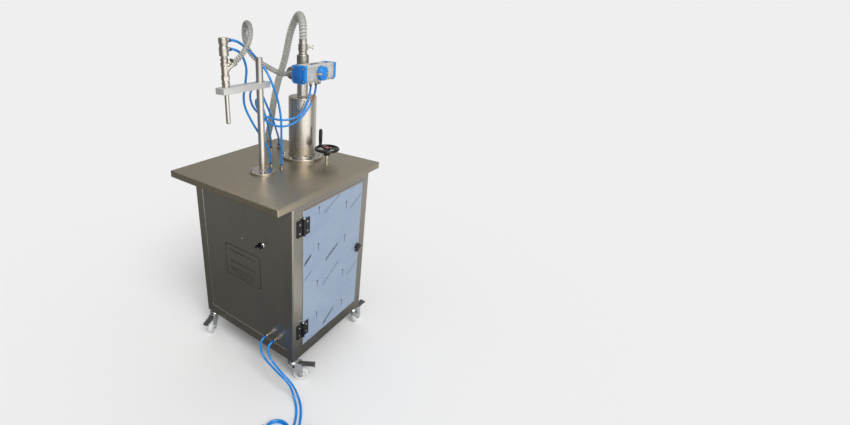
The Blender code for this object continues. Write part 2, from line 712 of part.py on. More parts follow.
def selector(machine, looks):
    """The switch on the front panel: bezel and contact block, and the knob that turns in it."""
    bore = running(KNOB_SHAFT_RADIUS, ROUND_STEPS)
    barrel = SWITCH_HOLE_RADIUS - GAP
    behind = PANEL_RECESS + SHEET
    nut_top = -SHEET - GAP
    bezel = lathe([(0, nut_top - SWITCH_NUT_HEIGHT), (SWITCH_NUT_RADIUS, nut_top - SWITCH_NUT_HEIGHT),
                   (SWITCH_NUT_RADIUS, nut_top), (barrel, nut_top), (barrel, GAP), (BEZEL_RADIUS, GAP),
                   (BEZEL_RADIUS, BEZEL_HEIGHT - EDGE_BREAK), (BEZEL_RADIUS - 2 * EDGE_BREAK, BEZEL_HEIGHT),
                   (bore, BEZEL_HEIGHT), (bore, BEZEL_HEIGHT - KNOB_SHAFT_LENGTH - GAP),
                   (0, BEZEL_HEIGHT - KNOB_SHAFT_LENGTH - GAP)], ROUND_STEPS)
    block = box(-SWITCH_BLOCK / 2, SWITCH_BLOCK / 2, -SWITCH_BLOCK / 2, SWITCH_BLOCK / 2,
                -behind - SWITCH_BLOCK_DEPTH, nut_top - SWITCH_NUT_HEIGHT + GAP)
    body = join(bezel, block)
    at = (SELECTOR_X, PANEL_FACE, SELECTOR_Z)
    piece("selector_bezel", aimed(body, (0, -1, 0), at), looks["chrome"], machine)
    seat = BEZEL_HEIGHT + GAP
    skirt = lathe([(0, BEZEL_HEIGHT - KNOB_SHAFT_LENGTH), (KNOB_SHAFT_RADIUS, BEZEL_HEIGHT - KNOB_SHAFT_LENGTH),
                   (KNOB_SHAFT_RADIUS, seat), (KNOB_RADIUS, seat), (KNOB_RADIUS, seat + KNOB_SKIRT - EDGE_BREAK),
                   (KNOB_RADIUS - EDGE_BREAK, seat + KNOB_SKIRT), (0, seat + KNOB_SKIRT)], ROUND_STEPS)
    wing = box(-KNOB_RADIUS + BITE, KNOB_RADIUS - BITE, -KNOB_WING_WIDTH / 2, KNOB_WING_WIDTH / 2,
               seat + KNOB_SKIRT - BITE, seat + KNOB_SKIRT + KNOB_WING_DEPTH)
    knob = join(skirt, rounded(wing, EDGE_BREAK))
    piece("selector_knob", aimed(knob, (0, -1, 0), at), looks["black"], machine, at)


def air_inlets(machine, looks):
    """The two bulkhead fittings of the air supply."""
    for name, inlet_x in (("air_inlet_1", INLET_X_1), ("air_inlet_2", INLET_X_2)):
        at = (inlet_x, PANEL_FACE - GAP, INLET_Z)
        piece(name, aimed(fitting(FITTING_TAIL, INLET_REACH), (0, -1, 0), at), looks["brass"], machine)


def caster_places():
    """Stem centres, one under each post."""
    left, right = CAB_X0 + CASTER_INSET_X, CAB_X1 - CASTER_INSET_X
    near, far = CAB_Y0 + CASTER_INSET_Y, CAB_Y1 - CASTER_INSET_Y
    return {"front": (right, near), "left": (left, near), "right": (right, far), "rear": (left, far)}


def fork_shape():
    """A swivel head over two cheek plates with the axle between them; the trail is along +X."""
    top = CABINET_BOTTOM - COLLAR_HEIGHT - GAP
    head_low = top - CASTER_HEAD_HEIGHT
    inner = WHEEL_WIDTH / 2 + WHEEL_HUB_PROUD + FORK_SIDE_GAP
    outer = inner + FORK_PLATE
    head = lathe([(0, head_low), (CASTER_HEAD_RADIUS, head_low), (RACE_RADIUS, top), (0, top)], SMALL_STEPS)
    bridge = box(-RACE_RADIUS, PEDAL_PIVOT_X / 2, -outer, outer, head_low - FORK_PLATE, head_low + BITE)
    eye = AXLE_HEAD_RADIUS + FORK_PLATE
    outline = [(-RACE_RADIUS, head_low), (-RACE_RADIUS, head_low - RACE_RADIUS / 2),
               (CASTER_TRAIL - eye, AXLE_Z - eye / 2), (CASTER_TRAIL - eye / 2, AXLE_Z - eye),
               (CASTER_TRAIL + eye / 2, AXLE_Z - eye), (CASTER_TRAIL + eye, AXLE_Z - eye / 2),
               (CASTER_TRAIL + eye, AXLE_Z + eye), (PEDAL_PIVOT_X + eye, head_low - CASTER_HEAD_HEIGHT),
               (PEDAL_PIVOT_X + PEDAL_PIVOT_RADIUS * 2, head_low)]
    cheeks = []
    for side in (-1, 1):
        low, high = sorted((side * inner, side * outer))
        cheek = turned(slab([(x, z) for x, z in outline], -high, -low), math.pi / 2, "X")
        cheeks.append(cheek)
    ends = outer + AXLE_HEAD
    axle = lathe([(0, -ends), (AXLE_HEAD_RADIUS, -ends), (AXLE_HEAD_RADIUS, -outer + BITE / 2),
                  (AXLE_RADIUS, -outer + BITE / 2), (AXLE_RADIUS, outer - BITE / 2),
                  (AXLE_HEAD_RADIUS, outer - BITE / 2), (AXLE_HEAD_RADIUS, ends), (0, ends)], TINY_STEPS)
    axle = aimed(axle, (0, 1, 0), (CASTER_TRAIL, 0, AXLE_Z))
    return join(head, bridge, *cheeks, axle)


def wheel_shape():
    """A moulded wheel with a hub, a thin web and a rounded tread, turned round the Y axis."""
    half, web = WHEEL_WIDTH / 2, WHEEL_WEB / 2
    hub_half = half + WHEEL_HUB_PROUD
    bore, rim = running(AXLE_RADIUS, WHEEL_STEPS), WHEEL_RADIUS - WHEEL_RIM
    tread = WHEEL_RADIUS / math.cos(math.pi / WHEEL_STEPS)
    profile = [(bore, -hub_half), (WHEEL_HUB_RADIUS, -hub_half), (rim, -web), (rim + WHEEL_WEB - web, -half),
               (tread, -half + 2 * EDGE_BREAK)]
    profile = profile + [(radius, -height) for radius, height in reversed(profile)]
    return aimed(lathe(profile, WHEEL_STEPS, True), (0, 1, 0), (0, 0, 0))


def pedal_shape():
    """The brake pedal: a bent plate over the wheel with a skirt, and a pin across the fork."""
    inner = WHEEL_WIDTH / 2 + WHEEL_HUB_PROUD + FORK_SIDE_GAP
    plate_y = inner - GAP * 2
    start, tip = -PEDAL_PIVOT_RADIUS * 2, PEDAL_TIP - PEDAL_PIVOT_X
    outline = [(start, -PEDAL_THICK), (start, PEDAL_THICK / 2), (tip, PEDAL_THICK / 2 + PEDAL_RISE),
               (tip, PEDAL_THICK / 2 + PEDAL_RISE - PEDAL_SKIRT), (tip - PEDAL_THICK, PEDAL_RISE - PEDAL_SKIRT),
               (tip - PEDAL_THICK, PEDAL_RISE - PEDAL_THICK)]
    plate = turned(slab(outline, -plate_y, plate_y), math.pi / 2, "X")
    return rounded(plate, EDGE_BREAK / 2)


def casters(machine, looks):
    """Four swivel casters; each fork turns on its collar and carries a wheel and a brake pedal."""
    pivot_z = CABINET_BOTTOM - COLLAR_HEIGHT - GAP - CASTER_HEAD_HEIGHT - PEDAL_THICK * 2
    for name, (stem_x, stem_y) in caster_places().items():
        stem = empty("caster_axis_" + name, machine, (stem_x, stem_y, 0), CASTER_HEADINGS[name])
        piece("caster_fork_" + name, fork_shape(), looks["zinc"], stem)
        wheel = piece("caster_wheel_" + name, wheel_shape(), looks["nylon"], stem)
        wheel.location = (CASTER_TRAIL, 0, AXLE_Z)
        pedal = piece("caster_brake_" + name, pedal_shape(), looks["pedal"], stem)
        pedal.location = (PEDAL_PIVOT_X, 0, pivot_z)


def bolt_heads(circle, count, seat, x, y):
    """Hexagon heads on a circle, sunk a little into what they clamp."""
    heads = []
    for i in range(count):
        angle = 2 * math.pi * (i + 0.5) / count
        head = hexagon(BOLT_HEAD_RADIUS, seat - BITE / 2, seat + BOLT_HEAD)
        heads.append(moved(head, x + circle * math.cos(angle), y + circle * math.sin(angle)))
    return heads


def post(machine, looks):
    """The round post on its bolted flange."""
    profile = [(0, GAP), (POST_FLANGE_RADIUS, GAP), (POST_FLANGE_RADIUS, POST_FLANGE - EDGE_BREAK),
               (POST_FLANGE_RADIUS - EDGE_BREAK, POST_FLANGE), (POST_RADIUS + POST_WELD, POST_FLANGE),
               (POST_RADIUS, POST_FLANGE + POST_WELD), (POST_RADIUS, POST_TOP - POST_EDGE),
               (POST_RADIUS - POST_EDGE, POST_TOP), (0, POST_TOP)]
    body = moved(lathe(profile, ROUND_STEPS), POST_X, POST_Y)
    bolts = bolt_heads(POST_BOLT_CIRCLE, 4, POST_FLANGE, POST_X, POST_Y)
    piece("post", join(body, *bolts), looks["steel"], machine)


def arm_bar(machine, looks):
    """The bar on the post: a split clamp at one end and the nozzle hole at the other."""
    half = ARM_WIDTH / 2
    far_end, near_end = POST_Y + ARM_END_PAST_POST, NOZZLE_Y - ARM_END_PAST_NOZZLE
    bar = rounded(box(-half, half, near_end, far_end, ARM_BOTTOM, ARM_TOP), ARM_EDGE)
    low, high = ARM_BOTTOM - OVERRUN, ARM_TOP + OVERRUN
    post_hole = rod(POST_RADIUS + GAP, (POST_X, POST_Y, low), (POST_X, POST_Y, high), ROUND_STEPS)
    nozzle_hole = rod(NOZZLE_RADIUS + GAP, (POST_X, NOZZLE_Y, low), (POST_X, NOZZLE_Y, high), ROUND_STEPS)
    slit = box(-ARM_SLIT / 2, ARM_SLIT / 2, POST_Y, far_end + OVERRUN, low, high)
    bar = cut(bar, post_hole, nozzle_hole, slit)
    screw_y, screw_z = far_end - ARM_SCREW_INSET, (ARM_BOTTOM + ARM_TOP) / 2
    screw_low, screw_high = -half - ARM_SCREW_HEAD, half - ARM_SCREW_HEAD
    head = rod(ARM_SCREW_HEAD_RADIUS, (screw_low, screw_y, screw_z), (-half + BITE, screw_y, screw_z))
    shank = rod(ARM_SCREW_RADIUS, (screw_low + BITE, screw_y, screw_z), (screw_high, screw_y, screw_z))
    piece("arm_bar", join(bar, head, shank), looks["steel"], machine, (POST_X, POST_Y, 0))


def side_direction(slope=0):
    """The way the branch and the air ports point, at an angle above the horizontal."""
    flat = Vector((math.cos(PORT_AZIMUTH), math.sin(PORT_AZIMUTH), 0))
    return flat * math.cos(slope) + Vector((0, 0, math.sin(slope)))


def nozzle(machine, looks):
    """The filling nozzle: outlet tube, body with its hose branch, air cylinder and needle."""
    axis = (POST_X, NOZZLE_Y, 0)
    below = [(NOZZLE_BORE, NOZZLE_TIP_Z), (NOZZLE_RADIUS - NOZZLE_TIP_TAPER, NOZZLE_TIP_Z),
             (NOZZLE_RADIUS, NOZZLE_TIP_Z + 2 * NOZZLE_TIP_TAPER), (NOZZLE_RADIUS, ARM_TOP),
             (NOZZLE_BORE, ARM_TOP)]
    piece("nozzle_tube", moved(lathe(below, ROUND_STEPS, True), *axis), looks["steel"], machine, axis)

    base, edge = ARM_TOP + GAP, NOZZLE_CHAMFER
    profile = [(0, base), (NOZZLE_NUT_RADIUS, base), (NOZZLE_NUT_RADIUS, NOZZLE_NUT_TOP),
               (NOZZLE_WAIST_RADIUS, NOZZLE_NUT_TOP), (NOZZLE_WAIST_RADIUS, NOZZLE_HEX_TOP),
               (NOZZLE_BODY_RADIUS, NOZZLE_HEX_TOP + edge), (NOZZLE_BODY_RADIUS, NOZZLE_BODY_TOP),
               (NOZZLE_UNION_RADIUS, NOZZLE_BODY_TOP + edge), (NOZZLE_UNION_RADIUS, NOZZLE_UNION_TOP),
               (0, NOZZLE_UNION_TOP)]
    body = lathe(profile, ROUND_STEPS)
    flats = hexagon(NOZZLE_BODY_RADIUS, NOZZLE_NUT_TOP + edge, NOZZLE_HEX_TOP)
    start, way = Vector((0, 0, BRANCH_Z)), side_direction(BRANCH_SLOPE)
    branch_end = start + way * BRANCH_REACH
    branch = rod(BRANCH_RADIUS, start, branch_end)
    clamp_at = start + way * (BRANCH_REACH - BRANCH_CLAMP_BACK)
    clamp = rod(BRANCH_CLAMP_RADIUS, clamp_at, clamp_at + way * BRANCH_CLAMP_WIDTH, ROUND_STEPS)
    across = way.cross(side_direction()).normalized()
    screw_at = clamp_at + way * BRANCH_CLAMP_WIDTH / 2 + way.cross(across) * BRANCH_CLAMP_RADIUS
    half = across * CLAMP_SCREW_LENGTH / 2
    screw = rod(CLAMP_SCREW_RADIUS, screw_at - half, screw_at + half, TINY_STEPS)
    body = join(body, flats, branch, clamp, screw)
    main_bore = rod(NOZZLE_BORE, (0, 0, base - OVERRUN), (0, 0, NOZZLE_UNION_TOP + OVERRUN), ROUND_STEPS)
    side_bore = rod(BRANCH_BORE, start, branch_end + way * OVERRUN)
    piece("nozzle_body", moved(cut(body, main_bore, side_bore), *axis), looks["steel"], machine, axis)

    low, wall = NOZZLE_UNION_TOP + GAP, AIR_CYLINDER_WALL
    inner, hole = AIR_CYLINDER_RADIUS - wall, NEEDLE_RADIUS + GAP
    groove = AIR_CYLINDER_GROOVE
    shell = lathe([(0, AIR_CYLINDER_TOP - wall), (inner, AIR_CYLINDER_TOP - wall), (inner, low + wall),
                   (hole, low + wall), (hole, low), (AIR_CYLINDER_RADIUS, low),
                   (AIR_CYLINDER_RADIUS, AIR_CYLINDER_GROOVE_Z - groove),
                   (AIR_CYLINDER_RADIUS - groove / 2, AIR_CYLINDER_GROOVE_Z - groove / 2),
                   (AIR_CYLINDER_RADIUS - groove / 2, AIR_CYLINDER_GROOVE_Z + groove / 2),
                   (AIR_CYLINDER_RADIUS, AIR_CYLINDER_GROOVE_Z + groove),
                   (AIR_CYLINDER_RADIUS, AIR_CYLINDER_TOP - edge),
                   (AIR_CYLINDER_RADIUS - edge, AIR_CYLINDER_TOP), (0, AIR_CYLINDER_TOP)], ROUND_STEPS)
    ports = []
    start, step = AIR_CYLINDER_RADIUS - wall / 2, AIR_PORT_REACH - COLLET_HEIGHT
    for port_z in (AIR_PORT_LOWER_Z, AIR_PORT_UPPER_Z):
        port = lathe([(0, start), (FITTING_BODY_RADIUS, start), (FITTING_BODY_RADIUS, step), (COLLET_RADIUS, step),
                      (COLLET_RADIUS, AIR_PORT_REACH), (0, AIR_PORT_REACH)], SMALL_STEPS)
        ports.append(aimed(port, side_direction(), (0, 0, port_z)))
    piece("nozzle_air_cylinder", moved(join(shell, *ports), *axis), looks["steel"], machine, axis)

    piston_low = low + wall + GAP
    needle = lathe([(0, NOZZLE_TIP_Z + GAP), (NEEDLE_RADIUS, NOZZLE_TIP_Z + NEEDLE_TIP), (NEEDLE_RADIUS, piston_low),
                    (inner - GAP, piston_low), (inner - GAP, piston_low + NEEDLE_PISTON_HEIGHT),
                    (0, piston_low + NEEDLE_PISTON_HEIGHT)], SMALL_STEPS)
    piece("nozzle_needle", moved(needle, *axis), looks["steel"], machine, axis)


def product_cylinder(machine, looks):
    """The measuring cylinder on its bolted flange, and its head with the neck to the valve."""
    at = (CYLINDER_X, CYLINDER_Y)
    rod_hole = ROD_RADIUS + GAP
    profile = [(rod_hole, GAP), (CYLINDER_FLANGE_RADIUS, GAP), (CYLINDER_FLANGE_RADIUS, CYLINDER_FLANGE),
               (CYLINDER_RADIUS + CYLINDER_WELD, CYLINDER_FLANGE),
               (CYLINDER_RADIUS, CYLINDER_FLANGE + CYLINDER_WELD), (CYLINDER_RADIUS, CYLINDER_TOP - GAP),
               (CYLINDER_BORE, CYLINDER_TOP - GAP), (CYLINDER_BORE, CYLINDER_FLOOR), (rod_hole, CYLINDER_FLOOR)]
    body = moved(lathe(profile, FINE_STEPS, True), *at)
    heads = bolt_heads(CYLINDER_BOLT_CIRCLE, 6, CYLINDER_FLANGE, *at)
    piece("product_cylinder", join(body, *heads), looks["steel"], machine)
    top = CYLINDER_TOP + HEAD_THICK
    profile = [(NECK_BORE, CYLINDER_TOP), (CYLINDER_RADIUS, CYLINDER_TOP), (CYLINDER_RADIUS, top - EDGE_BREAK),
               (CYLINDER_RADIUS - EDGE_BREAK, top), (NECK_RADIUS, top), (NECK_RADIUS, NECK_TOP),
               (NECK_BORE, NECK_TOP)]
    piece("cylinder_head", moved(lathe(profile, FINE_STEPS, True), *at), looks["steel"], machine)


def product_piston(machine, looks):
    """Product piston, rod and drive piston, turned as one."""
    x, y = CYLINDER_X, CYLINDER_Y
    low = CYLINDER_FLOOR + PISTON_REST_LIFT
    high = low + PISTON_HEIGHT
    wall = CYLINDER_BORE - GAP
    groove = wall - PISTON_SEAL_GROOVE
    drive_low = DRIVE_BASE + DRIVE_MARGIN
    drive_high = drive_low + DRIVE_PISTON
    lower, upper = low + PISTON_SEAL_WIDTH, high - PISTON_SEAL_WIDTH
    profile = [(0, drive_low), (DRIVE_BORE - GAP, drive_low), (DRIVE_BORE - GAP, drive_high),
               (ROD_RADIUS, drive_high), (ROD_RADIUS, low), (wall, low), (wall, lower), (groove, lower),
               (groove, lower + PISTON_SEAL_WIDTH), (wall, lower + PISTON_SEAL_WIDTH), (wall, upper),
               (wall - PISTON_CROWN, high), (0, high + PISTON_CROWN)]
    piece("product_piston", moved(lathe(profile, FINE_STEPS), x, y), looks["steel"], machine, (x, y, 0))


def drive_cylinder(machine, looks):
    """The air cylinder under the table: two square heads, a barrel and four tie rods."""
    half = DRIVE_SIDE / 2
    upper = rounded(box(-half, half, -half, half, DRIVE_CEILING, DRIVE_TOP), EDGE_BREAK)
    lower = rounded(box(-half, half, -half, half, DRIVE_BOTTOM, DRIVE_BASE), EDGE_BREAK)
    barrel = rod(DRIVE_BORE + DRIVE_WALL, (0, 0, DRIVE_BASE - BITE), (0, 0, DRIVE_CEILING + BITE), FINE_STEPS)
    ties = []
    for side_x in (-1, 1):
        for side_y in (-1, 1):
            tie_x, tie_y = side_x * TIE_OFFSET, side_y * TIE_OFFSET
            ties.append(rod(TIE_ROD_RADIUS, (tie_x, tie_y, DRIVE_BOTTOM - TIE_ROD_END),
                            (tie_x, tie_y, DRIVE_CEILING + BITE), TINY_STEPS))
    ports = []
    for port_z in ((DRIVE_CEILING + DRIVE_TOP) / 2, (DRIVE_BASE + DRIVE_BOTTOM) / 2):
        ports.append(rod(FITTING_BODY_RADIUS, (-half + BITE, 0, port_z), (-half - FITTING_HEIGHT, 0, port_z)))
    body = join(upper, lower, barrel, *ties, *ports)
    bore = rod(DRIVE_BORE, (0, 0, DRIVE_BASE), (0, 0, DRIVE_CEILING), FINE_STEPS)
    rod_hole = rod(ROD_RADIUS + GAP, (0, 0, DRIVE_CEILING - BITE), (0, 0, DRIVE_TOP + OVERRUN), FINE_STEPS)
    drive = moved(cut(body, bore, rod_hole), CYLINDER_X, CYLINDER_Y)
    piece("drive_cylinder", drive, looks["aluminium"], machine)


def valve_body(machine, looks):
    """The three-way valve: an upright pipe crossed by the plug's housing and the outlet."""
    x, y, z = CYLINDER_X, CYLINDER_Y, VALVE_Z
    outlet_y = y - VALVE_OUTLET_REACH
    upright = rod(VALVE_RADIUS, (x, y, VALVE_BOTTOM), (x, y, VALVE_TOP), ROUND_STEPS)
    cross = rod(VALVE_CROSS_RADIUS, (VALVE_BACK_X, y, z), (VALVE_FRONT_X, y, z), ROUND_STEPS)
    outlet = rod(VALVE_OUTLET_RADIUS, (x, y, z), (x, outlet_y, z), ROUND_STEPS)
    body = join(upright, cross, outlet)
    plug_bore = rod(running(PLUG_RADIUS, ROUND_STEPS), (PLUG_BACK_X - GAP, y, z),
                    (VALVE_FRONT_X + OVERRUN, y, z), ROUND_STEPS)
    pipe_bore = rod(NECK_BORE - EDGE_BREAK, (x, y, VALVE_BOTTOM - OVERRUN),
                    (x, y, VALVE_TOP + OVERRUN), SMALL_STEPS)
    outlet_bore = rod(VALVE_OUTLET_BORE, (x, y, z), (x, outlet_y - OVERRUN, z), SMALL_STEPS)
    piece("valve_body", cut(body, plug_bore, pipe_bore, outlet_bore), looks["steel"], machine)


def position_indicator(machine, looks):
    """Valve plug with its T-shaped port, the stem through the actuator, and the blue indicator."""
    x, y, z = CYLINDER_X, CYLINDER_Y, VALVE_Z
    seat = ACTUATOR_FRONT_X + GAP
    face = seat + INDICATOR_HEIGHT
    profile = [(0, PLUG_BACK_X), (PLUG_RADIUS, PLUG_BACK_X), (PLUG_RADIUS, PLUG_FRONT_X), (STEM_RADIUS, PLUG_FRONT_X),
               (STEM_RADIUS, seat), (INDICATOR_RADIUS, seat), (INDICATOR_RADIUS, face - EDGE_BREAK),
               (INDICATOR_RADIUS - EDGE_BREAK, face), (INDICATOR_CENTRE_RADIUS, face),
               (INDICATOR_CENTRE_RADIUS, face + INDICATOR_CENTRE), (0, face + INDICATOR_CENTRE)]
    body = aimed(lathe(profile, ROUND_STEPS), (1, 0, 0), (0, y, z))
    reach = PLUG_RADIUS + OVERRUN
    through = rod(PLUG_PORT, (x, y, z - reach), (x, y, z + reach))
    side = rod(PLUG_PORT - EDGE_BREAK, (x, y, z), (x, y + reach, z))
    piece("position_indicator", cut(body, through, side), looks["blue"], machine, (seat, y, z))


def coupling(bore, steps_out, notched):
    """A turned union nut, neck, clamp band and hose tail along +Z, with spanner notches in the nut.

    steps_out holds the (radius, height) points of the outside, from the seat to the tip.
    """
    body = lathe([(bore, 0)] + steps_out + [(bore, steps_out[-1][1])], ROUND_STEPS, True)
    notches = []
    for i in range(UNION_NOTCHES):
        notch = box(UNION_RADIUS - UNION_NOTCH_DEPTH, UNION_RADIUS + OVERRUN, -UNION_NOTCH / 2, UNION_NOTCH / 2,
                    -OVERRUN, notched)
        notches.append(turned(notch, 2 * math.pi * i / UNION_NOTCHES))
    return cut(body, *notches)


def couplings(machine, looks):
    """The unions and clamped hose tails on the valve's inlet and outlet."""
    base, edge = VALVE_TOP + GAP, 2 * EDGE_BREAK
    low, high = INLET_CLAMP_LOW - base, INLET_CLAMP_LOW + INLET_CLAMP_WIDTH - base
    outside = [(UNION_RADIUS, 0), (UNION_RADIUS, UNION_HEIGHT - edge), (UNION_RADIUS - edge, UNION_HEIGHT),
               (INLET_NECK_RADIUS, UNION_HEIGHT), (INLET_NECK_RADIUS, low), (INLET_CLAMP_RADIUS, low),
               (INLET_CLAMP_RADIUS, high), (SUCTION_HOSE / 2, high), (SUCTION_HOSE / 2, INLET_BARB_TOP - base)]
    body = coupling(SUCTION_BORE, outside, UNION_HEIGHT + OVERRUN)
    way = side_direction()
    middle = Vector((0, 0, (low + high) / 2))
    tip = middle + way * (INLET_CLAMP_RADIUS + WING_SCREW_LENGTH)
    screw = rod(CLAMP_SCREW_RADIUS, middle + way * (INLET_CLAMP_RADIUS - BITE), tip, TINY_STEPS)
    wing = box(-WING_THICK / 2, WING_THICK / 2, -WING_LENGTH / 2, WING_LENGTH / 2, -WING_THICK, WING_THICK)
    body = join(body, screw, aimed(wing, way, tip))
    piece("inlet_coupling", moved(body, CYLINDER_X, CYLINDER_Y, base), looks["steel"], machine)

    middle_z = (OUTLET_UNION_LENGTH + OUTLET_LENGTH) / 2
    low, high = middle_z - OUTLET_CLAMP_WIDTH / 2, middle_z + OUTLET_CLAMP_WIDTH / 2
    outside = [(UNION_RADIUS, 0), (UNION_RADIUS, OUTLET_UNION_LENGTH - edge),
               (UNION_RADIUS - edge, OUTLET_UNION_LENGTH), (OUTLET_NECK_RADIUS, OUTLET_UNION_LENGTH),
               (OUTLET_NECK_RADIUS, low), (OUTLET_CLAMP_RADIUS, low), (OUTLET_CLAMP_RADIUS, high),
               (OUTLET_NECK_RADIUS, high), (OUTLET_NECK_RADIUS, OUTLET_LENGTH)]
    body = coupling(VALVE_OUTLET_BORE, outside, OUTLET_UNION_LENGTH + OVERRUN)
    at = (CYLINDER_X, CYLINDER_Y - VALVE_OUTLET_REACH - GAP, VALVE_Z)
    piece("outlet_coupling", aimed(body, (0, -1, 0), at), looks["steel"], machine)


def actuator_outline(margin=0):
    """Section of the actuator across its length, as (x, z) points with cut corners."""
    x0, x1 = ACTUATOR_BACK_X - margin, ACTUATOR_FRONT_X + margin
    z0, z1 = ACTUATOR_BOTTOM - margin, ACTUATOR_TOP + margin
    c, half = ACTUATOR_CHAMFER, ACTUATOR_CHAMFER / 3
    return [(x0, z0 + c), (x0 + c, z0), (x1 - c, z0), (x1, z0 + c), (x1, z1 - half), (x1 - half, z1),
            (x0 + half, z1), (x0, z1 - half)]


def along_y(outline, y0, y1):
    """A slab whose outline is given in x and z, from y0 to y1."""
    return turned(slab([(x, z) for x, z in outline], -y1, -y0), math.pi / 2, "X")


def actuator(machine, looks):
    """The quarter-turn actuator: finned body, two end caps with bolts, fittings below."""
    y0, y1 = ACTUATOR_Y_0, ACTUATOR_Y_1
    rib = ACTUATOR_RIB
    body = along_y(actuator_outline(), y0, y1)
    grooves = [box(ACTUATOR_FRONT_X - rib, ACTUATOR_FRONT_X + rib, y0 - OVERRUN, y1 + OVERRUN,
                   ACTUATOR_TOP - ACTUATOR_CHAMFER - rib, ACTUATOR_TOP - ACTUATOR_CHAMFER),
               box(ACTUATOR_BACK_X + 2 * ACTUATOR_CHAMFER, ACTUATOR_FRONT_X - 2 * ACTUATOR_CHAMFER,
                   y0 - OVERRUN, y1 + OVERRUN, ACTUATOR_TOP - rib, ACTUATOR_TOP + OVERRUN)]
    stem_hole = rod(running(STEM_RADIUS, SMALL_STEPS), (ACTUATOR_BACK_X - OVERRUN, CYLINDER_Y, VALVE_Z),
                    (ACTUATOR_FRONT_X + OVERRUN, CYLINDER_Y, VALVE_Z))
    drops = []
    for fitting_y in (ACTUATOR_FITTING_Y_1, ACTUATOR_FITTING_Y_2, ACTUATOR_SILENCER_Y):
        bottom = ACTUATOR_BOTTOM - ACTUATOR_FITTING_DROP
        drops.append(rod(FITTING_BODY_RADIUS, (ACTUATOR_FITTING_X, fitting_y, bottom),
                         (ACTUATOR_FITTING_X, fitting_y, ACTUATOR_BOTTOM + BITE)))
    body = join(cut(body, stem_hole, *grooves), *drops)
    piece("actuator_body", body, looks["aluminium"], machine)
    middle_x, middle_z = (ACTUATOR_BACK_X + ACTUATOR_FRONT_X) / 2, (ACTUATOR_BOTTOM + ACTUATOR_TOP) / 2
    for name, seat, side in (("actuator_front_cap", y0 - GAP, -1), ("actuator_rear_cap", y1 + GAP, 1)):
        plate_end = seat + side * CAP_PLATE
        low, high = sorted((seat, plate_end))
        plate = along_y(actuator_outline(CAP_MARGIN), low, high)
        dome = lathe([(0, -BITE), (CAP_DOME_RADIUS, -BITE), (CAP_DOME_RADIUS, CAP_DOME / 2),
                      (CAP_DOME_RADIUS - CAP_DOME / 2, CAP_DOME), (0, CAP_DOME)], SMALL_STEPS)
        dome = aimed(dome, (0, side, 0), (middle_x, plate_end, middle_z))
        bolts = []
        for step_x in (-1, 1):
            for step_z in (-1, 1):
                bolt_x = middle_x + step_x * ((ACTUATOR_FRONT_X - ACTUATOR_BACK_X) / 2 - CAP_BOLT_INSET)
                bolt_z = middle_z + step_z * ((ACTUATOR_TOP - ACTUATOR_BOTTOM) / 2 - CAP_BOLT_INSET)
                bolts.append(rod(CAP_BOLT_RADIUS, (bolt_x, plate_end - side * BITE, bolt_z),
                                 (bolt_x, plate_end + side * CAP_BOLT_PROUD, bolt_z), TINY_STEPS))
        piece(name, join(plate, dome, *bolts), looks["blue"], machine)


